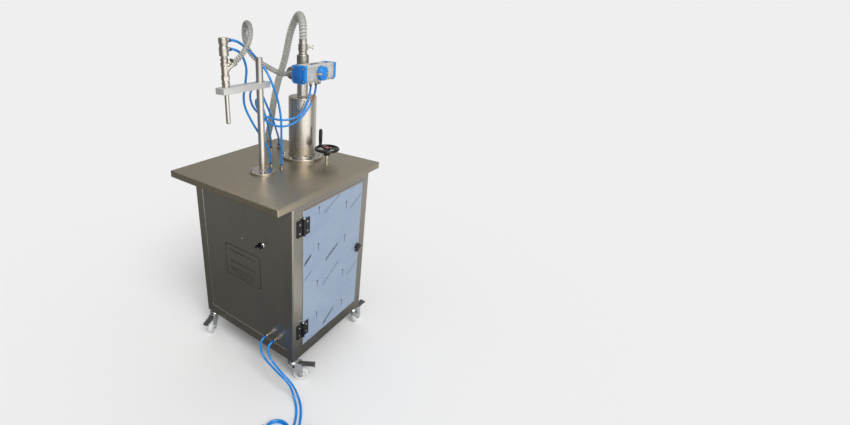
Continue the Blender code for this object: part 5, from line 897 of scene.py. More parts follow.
def supply_tubes():
    """The two supply tubes down to the floor, each running on into its coil."""
    for number, route, side in ((1, SUPPLY_ROUTE_1, -1), (2, SUPPLY_ROUTE_2, 1)):
        name = "supply_tube_%d" % number
        points = smooth_route(route, 0.004)
        heading = points[-1] - points[-2]
        coil = coil_points(points[-1] + heading.normalized() * GAP, heading, side)
        whole = eased(spaced(points + coil[1:], 0.004), 6)
        tube_piece(name + "_soft", whole, AIR_TUBE, "tube", (name, "supply_coil_%d" % number))


# Table, cabinet and door

def fitting(name, at, way, height, stands_for=()):
    """A push-in tube fitting: hexagon, waisted body and the navy collet round its mouth."""
    mouth = height - 0.004
    metal = together(hexagon(0.0078, 0, 0.006, 0.0007),
                     turned_shape([(0, -0.002), (0.0048, -0.002), (0.005, 0.0062), (0.0062, 0.0068),
                                   (0.0064, mouth - 0.003), (0.0062, mouth), (0.0042, mouth),
                                   (0.0042, mouth - 0.002), (0, mouth - 0.002)], 0.0005, 40))
    collet = ring_shape([(0.0042, mouth - 0.001), (0.005, mouth - 0.001), (0.0053, mouth + 0.0018),
                         (0.005, height - 0.0002), (0.0043, height - 0.0002)], 0.0005, 40)
    add(name, aimed(metal, way, at), "fitting", stands_for)
    add(name + "_collet", aimed(collet, way, at), "collet")


def table():
    """Folded tray with its holes, the four air fittings through it and the spindle's bush."""
    x, y = TABLE_X, TABLE_Y
    tray = box(-x, x, -y, y, -0.026, 0, 0.0034, 5)
    hollow = box(-x + 0.002, x - 0.002, -y + 0.002, y - 0.002, -0.024, -0.002)
    mouth = box(-x + 0.007, x - 0.007, -y + 0.007, y - 0.007, -0.03, -0.003)
    rod_hole = rod(0.0103, (CYLINDER_X, CYLINDER_Y, -0.03), (CYLINDER_X, CYLINDER_Y, 0.01))
    spindle_hole = rod(0.0070, (WHEEL_X, WHEEL_Y, -0.03), (WHEEL_X, WHEEL_Y, 0.01))
    tray = cut(tray, hollow, mouth, rod_hole, spindle_hole)
    add("table_tray", tray, "table", ("table_top",), angle=0.9)
    for i, (fx, fy) in enumerate(TABLE_FITTINGS):
        fitting("table_fitting_%d" % (i + 1), (fx, fy, 0), (0, 0, 1), 0.017)
        tail = rod(0.0048, (fx, fy, -0.016), (fx, fy, 0), 0.0004, 24)
        nut = moved(hexagon(0.0078, -0.007, -0.002), fx, fy)
        add("table_fitting_tail_%d" % (i + 1), together(tail, nut), "fitting")
    bush = ring_shape(mm([(6.9, 0), (11.5, 0), (11.5, 3), (9.5, 4.4), (6.9, 4.4)]), 0.0007, 48)
    add("spindle_bush", moved(bush, WHEEL_X, WHEEL_Y), "turned")


def keep(node, look, edge=0.0, segments=3):
    """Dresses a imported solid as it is, with its sharp edges broken."""
    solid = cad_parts[node]
    solid.data.materials.clear()
    solid.data.materials.append(looks[look])
    if edge:
        step = solid.modifiers.new("edge", "BEVEL")
        step.width = edge
        step.segments = segments
        step.limit_method = "ANGLE"
        step.angle_limit = 0.75
        step.harden_normals = True


def cabinet():
    keep("cabinet_frame", "frame", 0.0016)
    for node in ("front_panel", "left_panel", "rear_panel", "floor_panel"):
        keep(node, "panel", 0.0004, 1)
    keep("air_valve", "aluminium", 0.0006, 2)
    keep("drive_cylinder", "aluminium", 0.0005, 2)
    keep("product_piston", "turned", 0.0004, 2)
    keep("nozzle_needle", "turned")
    keep("stop_nut", "fitting", 0.0004, 2)
    seams()
    plate_lines()


def seams():
    """Weld beads along the corners where panel and posts meet, ground nearly flat; three are drawn in a
    brighter steel as painted highlight, and the one by the right post in near-black as painted shade.
    """
    x0, x1, z0, z1 = CAB_X0 + TUBE, CAB_X1 - TUBE, CAB_Z0 + TUBE, CAB_Z1 - TUBE
    # Three beads carry painted highlight in the brighter steel; the bead by the right post carries painted
    # shade in near-black.
    for name, start, end, bead, look in (
            ("front_seam_1", (x0, z0), (x0, z1), 0.0014, "painted_highlight_steel"),
            ("front_seam_2", (x1, z0), (x1, z1), 0.0014, "engraving_and_painted_shade"),
            ("front_cross_seam_1", (x0, z0), (x1, z0), 0.0012, "painted_highlight_steel"),
            ("front_cross_seam_2", (x0, z1), (x1, z1), 0.0012, "painted_highlight_steel")):
        line = [Vector(start).lerp(Vector(end), k / 60) for k in range(61)]
        line = [(p.x, PANEL_FACE, p.y) for p in line]
        add(name, sweep(line, lambda r, a: bead + 0.00012 * math.sin(r * 1900), 10), look, slot="frame_steel",
            angle=0)


def stroke(points, width, height, axis, seat):
    """A thin line of even width through (a, b) points, laid on a face across the given axis."""
    bm = bmesh.new()
    for start, end in zip(points, points[1:]):
        start, end = Vector(start), Vector(end)
        along = (end - start).normalized() * width / 2
        side = Vector((-along.y, along.x))
        corners = [start - along + side, start - along - side, end + along - side, end + along + side]
        if axis == "x":
            low = [bm.verts.new((seat, c.x, c.y)) for c in corners]
            high = [bm.verts.new((seat + height, c.x, c.y)) for c in corners]
        else:
            low = [bm.verts.new((c.x, seat, c.y)) for c in corners]
            high = [bm.verts.new((c.x, seat - height, c.y)) for c in corners]
        bm.faces.new(high)
        for i in range(4):
            j = (i + 1) % 4
            bm.faces.new((low[i], low[j], high[j], high[i]))
    bmesh.ops.recalc_face_normals(bm, faces=bm.faces)
    return bm


def plate_lines():
    """The engraved plate's place on the front panel: an outline with plain lines, and a rivet."""
    x0, x1, z0, z1, cut_off = -0.086, 0.104, -0.411, -0.274, 0.007
    outline = [(x0 + cut_off, z0), (x1 - cut_off, z0), (x1, z0 + cut_off), (x1, z1 - cut_off),
               (x1 - cut_off, z1), (x0 + cut_off, z1), (x0, z1 - cut_off), (x0, z0 + cut_off),
               (x0 + cut_off, z0)]
    shapes = [stroke(outline, 0.0032, 0.00012, "y", PANEL_FACE)]
    for z, low, high, width in ((-0.375, 0.020, 0.170, 0.0032), (-0.387, 0.030, 0.160, 0.0032),
                                (-0.399, 0.052, 0.138, 0.0032), (-0.298, 0.024, 0.166, 0.0040),
                                (-0.345, 0.024, 0.166, 0.0040)):
        shapes.append(stroke([(x0 + low, z), (x0 + high, z)], width, 0.00012, "y", PANEL_FACE))
    add("plate_engraving", together(*shapes), "engraving_and_painted_shade", angle=0)
    rivet = turned_shape(mm([(0, 0), (4.2, 0), (3.6, 1.2), (1.4, 1.8), (0, 1.9)]), 0.0003, 32)
    add("panel_rivet", aimed(rivet, (0, -1, 0), (0.0115, PANEL_FACE, -0.2245)), "chrome")


def film_height(y, z):
    """Small waves and creases of the film, from 0 to 1."""
    wave = math.sin(y * 41 + math.sin(z * 13) * 1.7) * math.sin(z * 29 + math.sin(y * 17) * 2.1)
    crease = math.exp(-((y * 0.45 + z + 0.17) * 60) ** 2) + 0.7 * math.exp(-((y * 0.3 - z - 0.46) * 75) ** 2)
    return 0.30 + 0.18 * wave + 0.45 * crease


def door():
    """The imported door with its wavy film, the film's plain marks, hinges and latch."""
    # The door's steel is drawn in the brighter steel as painted highlight along its rim round the film.
    keep("door", "painted_highlight_steel", 0.0012)
    y0, y1, z0, z1 = OPEN_Y0 + 0.0035, OPEN_Y1 - 0.0065, OPEN_Z0 + 0.0065, OPEN_Z1 - 0.0065
    columns, rows = 90, 140
    bm = bmesh.new()
    grid = []
    for i in range(columns + 1):
        line = []
        for k in range(rows + 1):
            y, z = y0 + (y1 - y0) * i / columns, z0 + (z1 - z0) * k / rows
            if i in (0, columns):
                y += 0.0007 * math.sin(z * 83) + 0.0005 * math.sin(z * 31)
            if k in (0, rows):
                z += 0.0007 * math.sin(y * 77) + 0.0004 * math.sin(y * 190)
            line.append(bm.verts.new((DOOR_FACE + 0.00008 + 0.0007 * film_height(y, z), y, z)))
        grid.append(line)
    for i in range(columns):
        for k in range(rows):
            bm.faces.new((grid[i][k], grid[i + 1][k], grid[i + 1][k + 1], grid[i][k + 1]))
    rim = bmesh.ops.extrude_edge_only(bm, edges=[e for e in bm.edges if len(e.link_faces) == 1])
    for v in rim["geom"]:
        if isinstance(v, bmesh.types.BMVert):
            v.co.x = DOOR_FACE - 0.0002
    add("door_film", bm, "film", body="hinged_door", angle=0)
    strokes = [(start, end, 0.0013) for start, end in FILM_LINES]
    for y, z in FILM_ARROWS:
        strokes += [((y, z - 0.015), (y, z + 0.011), 0.0011),
                    ((y - 0.0020, z + 0.0075), (y, z + 0.014), 0.0019),
                    ((y + 0.0020, z + 0.0075), (y, z + 0.014), 0.0019)]
    for (sy, sz), (ey, ez) in FILM_BARS:
        for k in range(6):
            y, z = sy + (ey - sy) * (k + 0.3) / 6, sz + (ez - sz) * (k + 0.3) / 6
            reach = (0.0085 - 0.0006 * k) * 0.6
            strokes.append(((y - 0.003, z - reach), (y + 0.003, z + reach), 0.0042))
    marks = [stroke([start, end], width, 0.0008, "x", DOOR_FACE + 0.0002) for start, end, width in strokes]
    add("film_marks", together(*marks), "ink", body="hinged_door", angle=0)
    hinges()
    latch()


def hinges():
    """Black surface hinges with bright screws and pin ends."""
    for name, middle in (("upper_hinge", -0.112), ("lower_hinge", -0.545)):
        keep(name + "_frame_leaf", "black", 0.0007, 2)
        keep(name + "_door_leaf", "black", 0.0007, 2)
        for side, seat, body, leaf in ((-1, CAB_X1, "machine_frame", "frame"),
                                       (1, DOOR_FACE, "hinged_door", "door")):
            near, far = OPEN_Y0 + side * 0.0045, OPEN_Y0 + side * 0.0315
            hole_y = (near + far) / 2 + side * 0.001
            heads = []
            for z in (middle - 0.017, middle + 0.017):
                head = turned_shape(mm([(0, -3), (2.2, -3), (4, 0), (3.7, 0.7), (0, 1.2)]), 0.0003, 28)
                slots = [box(-a, a, -b, b, 0.0002, 0.003) for a, b in ((0.0005, 0.0026), (0.0026, 0.0005))]
                heads.append(aimed(cut(head, *slots), (1, 0, 0), (seat + 0.0043, hole_y, z)))
            add("%s_%s_screws" % (name, leaf), together(*heads), "chrome", body=body)
        cap = turned_shape(mm([(0, 0), (5, 0), (5, 2), (3.4, 3.4), (0, 3.6)]), 0.0006, 36)
        top = moved(cap, 0.271, OPEN_Y0, middle + 0.0334)
        add(name + "_cap", top, "chrome")


def latch():
    """Black wing knob on its boss; the spindle and cam behind the door."""
    at_y, at_z = OPEN_Y1 - 0.022, -0.335
    seat = DOOR_FACE + GAP
    boss = turned_shape(mm([(0, 0), (13, 0), (13, 3), (11.2, 6), (0, 6)]), 0.0009, 56)
    boss = aimed(boss, (1, 0, 0), (seat, at_y, at_z))
    outline = mm([(-5.8, -12.5), (5.8, -12.5), (6.2, 4), (4.5, 21.5), (2.2, 23), (-2.2, 23), (-4.5, 21.5),
                  (-6.2, 4)])
    wing = slab(outline, 0.005, 0.0165, 0.0022, 4)
    wing = turned(turned(wing, math.pi / 2, "X"), math.pi / 2, "Z")
    wing = moved(turned(wing, 2.2, "X"), seat, at_y, at_z)
    spindle = rod(0.0045, (0.2217, at_y, at_z), (seat + 0.001, at_y, at_z), 0.0004)
    cam = box(0.2217, 0.2247, at_y - 0.008, at_y + 0.008, at_z - 0.036, at_z + 0.008, 0.0010)
    add("latch_wing", together(boss, wing), "gloss_black", ("door_latch",), "latch")
    add("latch_cam", together(spindle, cam), "zinc", body="latch")


def selector():
    """Chromed bezel and knob of the panel switch; the nut and contact block behind the panel."""
    at, way = (0.116, PANEL_FACE, -0.214), (0, -1, 0)
    bezel = ring_shape(mm([(4.6, 0.3), (15, 0.3), (15, 2.2), (13.8, 4.6), (12.2, 5), (11.6, 4.2),
                           (4.6, 4.2)]), 0.0006, 72)
    add("selector_bezel_ring", aimed(bezel, way, at), "chrome", ("selector_bezel",))
    nut = ring_shape(mm([(11.4, -8.3), (14, -8.3), (14, -2.3), (11.4, -2.3)]), 0.0004, 48)
    barrel = rod(0.0109, (0, 0, -0.0083), (0, 0, 0.0004), 0.0004)
    block = box(-0.015, 0.015, -0.015, 0.015, -0.046, -0.0080, 0.0012)
    add("selector_block", aimed(together(nut, barrel, block), way, at), "black")
    skirt = turned_shape(mm([(0, -7), (4, -7), (4, 5.3), (11.5, 5.3), (11.5, 8.8), (10.4, 10.3), (0, 10.3)]),
                         0.0006, 56)
    wing = box(-0.0106, 0.0106, -0.0040, 0.0040, 0.0092, 0.0253, 0.0016, 4)
    add("selector_wing", aimed(together(skirt, wing), way, at), "gloss_black", ("selector_knob",), "selector")
    line = box(0.0030, 0.0102, -0.0006, 0.0006, 0.0250, 0.0256, 0.0002, 1)
    add("selector_line", aimed(line, way, at), "nylon", body="selector")


def inlets():
    for number, x in enumerate(INLETS_X, 1):
        fitting("air_inlet_fitting_%d" % number, (x, PANEL_FACE - GAP, INLETS_Z), (0, -1, 0), 0.028,
                ("air_inlet_%d" % number,))
        tail = rod(0.0048, (x, PANEL_FACE + 0.0157, INLETS_Z), (x, PANEL_FACE, INLETS_Z), 0.0004, 24)
        add("air_inlet_tail_%d" % number, tail, "fitting")


# Casters

def casters():
    """Dressed forks and pedals, and moulded wheels with a softer tread."""
    inner = 0.010 + 0.001 + 0.0012
    outer = inner + 0.0025
    head_low = CAB_Z0 - 0.012 - GAP - 0.008
    axle_z = FLOOR_Z + 0.030
    for name, (x, y, heading) in CASTERS.items():
        place = {"at": (x, y, 0), "heading": heading}
        keep("caster_fork_" + name, "zinc", 0.0007, 3)
        keep("caster_brake_" + name, "pedal", 0.0005, 3)
        hub = ring_shape(mm([(4.6, -11), (9.8, -11), (10.6, -5), (21.6, -3.4), (22.2, -9.4), (24, -10),
                             (26.2, -9.2), (26.2, 9.2), (24, 10), (22.2, 9.4), (21.6, 3.4), (10.6, 5),
                             (9.8, 11), (4.6, 11)]), 0.0009, 72)
        add("wheel_hub_" + name, aimed(hub, (0, 1, 0), (0.033, 0, axle_z)), "nylon",
            ("caster_wheel_" + name,), "wheel_" + name, **place)
        tread = ring_shape(mm([(25.8, -9.8), (28, -9.2), (29.6, -6), (30, 0), (29.6, 6), (28, 9.2),
                               (25.8, 9.8)]), 0.001, 72)
        add("wheel_tread_" + name, aimed(tread, (0, 1, 0), (0.033, 0, axle_z)), "tread", body="wheel_" + name,
            **place)
        caps = []
        for side in (-1, 1):
            cap = turned_shape(mm([(0, 0), (6.9, 0), (6.9, 1.8), (5, 2.9), (2, 2.9), (1.6, 2.4), (0, 2.4)]),
                               0.0005, 40)
            caps.append(aimed(cap, (0, side, 0), (0.033, side * outer, axle_z)))
        add("axle_caps_" + name, together(*caps), "chrome", body="fork_" + name, **place)
        cone = ring_shape([(0.009, head_low - 0.0004), (0.0211, head_low - 0.0002),
                           (0.0214, head_low + 0.0022), (0.0165, head_low + 0.0078),
                           (0.009, head_low + 0.008)], 0.0007, 56)
        add("swivel_cone_" + name, cone, "chrome", body="fork_" + name, **place)
        collar = ring_shape([(0.01, CAB_Z0 - 0.0119), (0.0122, CAB_Z0 - 0.0119), (0.0124, CAB_Z0 - 0.0012),
                             (0.015, CAB_Z0 - 0.0003), (0.01, CAB_Z0)], 0.0005, 56)
        add("stem_collar_" + name, collar, "black", **place)
        knob = turned_shape(mm([(0, 0), (4.4, 0), (4.8, 3), (3.4, 5), (0, 5.2)]), 0.0007, 32)
        add("fork_stud_" + name, aimed(knob, (0, -1, 0), (0.006, -outer + 0.0004, head_low - 0.012)),
            "gloss_black", body="fork_" + name, **place)


# Post, arm and nozzle

def bolts_on(circle, count, seat, x, y):
    """Hexagon bolts with washers, evenly round a circle."""
    heads = []
    for i in range(count):
        angle = 2 * math.pi * (i + 0.5) / count
        washer = turned_shape(mm([(0, 0), (7.8, 0), (7.8, 0.9), (0, 0.9)]), 0.0003, 36)
        head = hexagon(0.0064, 0.0009, 0.0050, 0.0006)
        dimple = turned_shape(mm([(0, 4.8), (5, 4.8), (4.6, 5.4), (0, 5.6)]), 0.0003, 32)
        bolt = turned(together(washer, head, dimple), angle * 1.7)
        heads.append(moved(bolt, x + circle * math.cos(angle), y + circle * math.sin(angle), seat))
    return together(*heads)


def weld_ring(radius, bead, x, y, z, waves=46):
    """A small weld bead with ripples round a pipe."""
    points = []
    for i in range(193):
        a = 2 * math.pi * i / 192
        points.append((x + radius * math.cos(a), y + radius * math.sin(a), z))
    return sweep(points, lambda r, a: bead * (0.88 + 0.12 * math.sin(r / radius * waves)), 10)


def post():
    profile = mm([(0, 0.3), (50, 0.3), (50, 6.4), (48.8, 7), (12.5, 7), (12.5, 405), (11.2, 406), (0, 406)])
    add("post_round", moved(turned_shape(profile, 0.0007, 80), 0, POST_Y), "polished", ("post",))
    add("post_weld", weld_ring(0.0125, 0.0021, 0, POST_Y, 0.0072), "bead")
    add("post_bolts", bolts_on(0.038, 4, 0.007, 0, POST_Y), "bolt")


def arm():
    """Flat bar with its split clamp, screw and washer."""
    bar = box(-0.020, 0.020, -0.262, -0.051, ARM_Z0, ARM_Z1, 0.0011, 3)
    low, high = ARM_Z0 - 0.006, ARM_Z1 + 0.014
    post_hole = rod(0.0128, (0, POST_Y, low), (0, POST_Y, high), 0, 64)
    nozzle_hole = rod(0.0078, (0, NOZZLE_Y, low), (0, NOZZLE_Y, high), 0, 48)
    slit = box(-0.001, 0.001, POST_Y, -0.04, low, high)
    add("arm_flat", cut(bar, post_hole, nozzle_hole, slit), "bar", ("arm_bar",), "arm")
    collar = ring_shape(mm([(12.8, 326.2), (16, 326.2), (16, 327.5), (12.8, 327.5)]), 0.0004, 56)
    add("arm_collar", moved(collar, 0, POST_Y), "turned", body="arm")
    head = turned_shape(mm([(0, 0), (5, 0), (5, 4.4), (4.3, 5), (2.8, 5), (2.6, 3), (0, 3)]), 0.0005, 40)
    washer = turned_shape(mm([(0, 0), (6.8, 0), (6.8, 0.9), (0, 0.9)]), 0.0003, 40)
    at = (-0.02, -0.062, (ARM_Z0 + ARM_Z1) / 2)
    add("arm_screw", aimed(together(head, washer), (-1, 0, 0), at), "bolt", body="arm")


def side_way(slope=0.0):
    """The direction in which the nozzle's ports and branch point, raised by a slope."""
    flat = Vector((math.cos(PORT_AZIMUTH), math.sin(PORT_AZIMUTH), 0))
    return flat * math.cos(slope) + Vector((0, 0, math.sin(slope)))


def nozzle():
    """Tip and tube, body with the clamped side branch, and the air cylinder with its two ports."""
    tube = mm([(3, 208), (4.2, 208), (6.2, 209.2), (7.5, 212.5), (7.5, 326), (4.5, 326)])
    tube = moved(ring_shape(tube, 0.0009, 64, 5), 0, NOZZLE_Y)
    add("nozzle_pipe", tube, "polished", ("nozzle_tube",), "arm")
    low_nut = mm([(0, 326.3), (13, 326.3), (13, 330), (11.8, 330.6), (11.8, 331.6), (13, 332.2), (13, 343.8),
                  (12.2, 345), (10.5, 345), (10.5, 346.2), (10.5, 365), (11.8, 366.2), (12, 368), (12, 387.2),
                  (11.2, 388.2), (11.2, 389.2), (13, 390.2), (13.5, 391.5), (13.5, 400), (10.8, 401),
                  (10.8, 404), (12.8, 405), (12.8, 412), (10.4, 413.2), (10.4, 419.7), (0, 419.7)])
    body = moved(turned_shape(low_nut, 0.0005, 72), 0, NOZZLE_Y)
    flats = moved(hexagon(0.0118, 0.3468, 0.3640, 0.0012), 0, NOZZLE_Y)
    add("nozzle_core", together(body, flats), "turned", ("nozzle_body",), "arm")
    start, way = Vector((0, NOZZLE_Y, 0.375)), side_way(BRANCH_SLOPE)
    branch = aimed(turned_shape(mm([(0, 4), (9.2, 4), (9.2, 15), (8, 16.5), (8, 45), (7, 45.8), (0, 45.8)]),
                                0.0006, 56), way, start)
    add("nozzle_branch", branch, "turned", body="arm")
    at = start + way * 0.034
    band = ring_shape(mm([(9.1, 0), (11.5, 0), (11.5, 1.6), (10.9, 2.2), (10.9, 6.8), (11.5, 7.4), (11.5, 9),
                          (9.1, 9)]), 0.0004, 64)
    across = way.cross(side_way()).normalized()
    outwards = way.cross(across)
    seat = at + way * 0.0045 + outwards * 0.0115
    ears = aimed(box(-0.003, 0.003, -0.0042, 0.0042, -0.001, 0.0042, 0.0008), outwards,
                 seat - outwards * 0.001)
    add("branch_clamp", together(aimed(band, way, at), ears), "bolt", body="arm")
    half = across * 0.008
    screw = rod(0.0026, seat - half + outwards * 0.001, seat + half + outwards * 0.001, 0.0003, 24)
    head = aimed(turned_shape(mm([(0, 0), (4, 0), (4, 3.2), (3.2, 4), (0, 4)]), 0.0005, 32), -across,
                 seat - half * 0.6 + outwards * 0.001)
    add("branch_clamp_screw", together(screw, head), "gloss_black", body="arm")
    shell = mm([(0, 420), (15, 420), (15, 444), (13.8, 446), (13.2, 450), (13.2, 453), (13.8, 455.2),
                (15, 456.6), (15, 471.2), (13.4, 473.5), (4, 473.5), (3.6, 472.2), (0, 472.2)])
    add("nozzle_cap", moved(turned_shape(shell, 0.0007, 80), 0, NOZZLE_Y), "turned", ("nozzle_air_cylinder",),
        "arm")
    for number, z in ((1, 0.440), (2, 0.466)):
        port = turned_shape(mm([(0, 11), (6.2, 11), (6.2, 18), (5.6, 19), (4.2, 19), (4.2, 18), (0, 18)]),
                            0.0005, 40)
        collet = ring_shape(mm([(4.2, 18.4), (5.3, 18.4), (5.5, 21.2), (5, 22.9), (4.3, 22.9)]), 0.0004, 40)
        add("nozzle_port_%d" % number, aimed(port, side_way(), (0, NOZZLE_Y, z)), "fitting", body="arm")
        add("nozzle_collet_%d" % number, aimed(collet, side_way(), (0, NOZZLE_Y, z)), "collet", body="arm")


# Cylinder, valve, couplings and actuator

def cylinder():
    """Flange, barrel and head of the product cylinder, with its weld and bolts."""
    x, y = CYLINDER_X, CYLINDER_Y
    flange = mm([(10.3, 0.3), (86, 0.3), (86, 9), (84.6, 10), (54.8, 10), (54.8, 12), (10.3, 12)])
    flange = soften(flange + flange[:1])[:-1]
    add("cylinder_flange", moved(lathe(flange, 96, True), x, y), "turned", ("product_cylinder",))
    barrel = mm([(50, 10), (55, 10), (55, 235.7), (50, 235.7)])
    add("cylinder_barrel", moved(lathe(barrel, 96, True), x, y), "barrel")
    add("cylinder_weld", weld_ring(0.0552, 0.0026, x, y, 0.0102, 120), "bead")
    add("cylinder_bolts", bolts_on(0.075, 6, 0.01, x, y), "bolt")
    head = mm([(15, 236), (55, 236), (55, 237.8), (54.1, 238.4), (54.1, 239), (55, 239.6), (55, 244),
               (52.8, 246), (23.8, 246), (21.5, 247.6), (21.5, 302), (20.6, 304.7), (15, 304.7)])
    add("cylinder_cap", moved(ring_shape(head, 0.001, 96), x, y), "turned", ("cylinder_head",))


def valve():
    """Cast valve block: upright body, cross housing for the plug and the outlet in front."""
    x, y, z = CYLINDER_X, CYLINDER_Y, VALVE_Z
    upright = turned_shape(mm([(10, 305), (25.5, 305), (27, 306.6), (27, 310.5), (25.6, 312.8), (25.6, 355),
                               (27, 357.2), (27, 362.2), (25.5, 363.7), (10, 363.7)]), 0.001, 80)
    upright = moved(upright, x, y)
    cross = aimed(turned_shape(mm([(0, -45), (21, -45), (23, -43.4), (23, -37), (21.8, -35.8), (21.8, 11.5),
                                   (23, 12.7), (23, 18.7), (22, 19.7), (6.4, 19.7)]), 0.0009, 72), (1, 0, 0),
                  (0, y, z))
    outlet = aimed(turned_shape(mm([(0, 0), (16.5, 0), (16.5, 36), (18, 37.2), (18, 44.6), (16.8, 46),
                                    (0, 46)]), 0.0009, 64), (0, -1, 0), (x, y, z))
    add("valve_block", together(upright, cross, outlet), "cast", ("valve_body",))
    back = []
    for i in range(4):
        a = math.pi / 4 + i * math.pi / 2
        head = aimed(hexagon(0.003, 0, 0.0022, 0.0004), (-1, 0, 0),
                     (-0.045, y + 0.0158 * math.cos(a), z + 0.0158 * math.sin(a)))
        back.append(head)
    add("valve_back_screws", together(*back), "bolt")


def union_nut(profile, reach):
    """A turned nut with six notches along its rim."""
    notches = [turned(box(0.02, 0.026, -0.002, 0.002, -0.003, reach), math.pi * i / 3) for i in range(6)]
    return cut(ring_shape(profile, 0.0008, 96), *notches)


def couplings():
    """Union nuts and necks of the inlet and the outlet, with the hose clamps on them."""
    x, y = CYLINDER_X, CYLINDER_Y
    base = 0.3640
    nut = union_nut(mm([(10.5, 0), (22.2, 0), (23, 1.6), (23, 31), (21.2, 34), (10.5, 34)]), 0.037)
    neck = ring_shape(mm([(10.5, 33), (16.5, 33), (16.5, 40), (15.2, 41.5), (15.2, 44), (16.5, 45.5),
                          (16.5, 70), (10.5, 70)]), 0.0008, 72)
    add("inlet_union", moved(together(nut, neck), x, y, base), "cast", ("inlet_coupling",))
    tail = ring_shape(mm([(10.5, 433), (14.9, 433), (14.9, 452.7), (10.5, 452.7)]), 0.0005, 72)
    add("inlet_tail", moved(tail, x, y), "turned")
    band = ring_shape(mm([(15, 413), (18.5, 413), (18.5, 415.2), (17.7, 416), (17.7, 432), (18.5, 432.8),
                          (18.5, 435), (15, 435)]), 0.0006, 80)
    way = side_way()
    middle = Vector((x, y, 0.4240))
    lug = aimed(box(-0.0060, 0.0060, -0.0050, 0.0050, -0.0015, 0.0062, 0.0010), way, middle + way * 0.0178)
    add("inlet_clamp", together(moved(band, x, y), lug), "bolt")
    tip = middle + way * 0.0365
    shank = rod(0.0033, middle + way * 0.0175, tip, 0.0004, 28)
    threads = sweep(helix_about([middle + way * 0.024, middle + way * 0.0335], 0.0033, 0.0012),
                    lambda r, a: 0.00045, 6)
    wing = aimed(box(-0.0018, 0.0018, -0.0080, 0.0080, -0.0022, 0.0022, 0.0016, 4), way, tip)
    add("inlet_wing_screw", together(shank, threads, wing), "bolt")

    at, way = (x, y - 0.0463, VALVE_Z), (0, -1, 0)
    nut = union_nut(mm([(8, 0), (22.2, 0), (23, 1.4), (23, 21.4), (21.4, 24), (8, 24)]), 0.027)
    tail = ring_shape(mm([(8, 23), (12, 23), (12, 25), (9.5, 26.2), (9.5, 44.5), (8, 45)]), 0.0006, 64)
    add("outlet_union", aimed(together(nut, tail), way, at), "cast", ("outlet_coupling",))
    band = ring_shape(mm([(9.2, 30), (11.5, 30), (11.5, 31.4), (10.9, 32), (10.9, 37), (11.5, 37.6),
                          (11.5, 39), (9.2, 39)]), 0.0004, 64)
    lug = box(0.0100, 0.0150, -0.0035, 0.0035, 0.0310, 0.0380, 0.0008)
    add("outlet_clamp", aimed(together(band, lug), way, at), "bolt")


def section(margin=0.0):
    """Section of the actuator across its length, as (x, z) points with cut corners."""
    x0, x1, z0, z1, c = 0.020 - margin, 0.081 + margin, 0.308 - margin, 0.370 + margin, 0.009
    return [(x0, z0 + c), (x0 + c, z0), (x1 - c, z0), (x1, z0 + c), (x1, z1 - c / 3), (x1 - c / 3, z1),
            (x0 + c / 3, z1), (x0, z1 - c / 3)]


def along_y(outline, y0, y1, edge):
    return turned(slab(outline, -y1, -y0, edge, 3), math.pi / 2, "X")


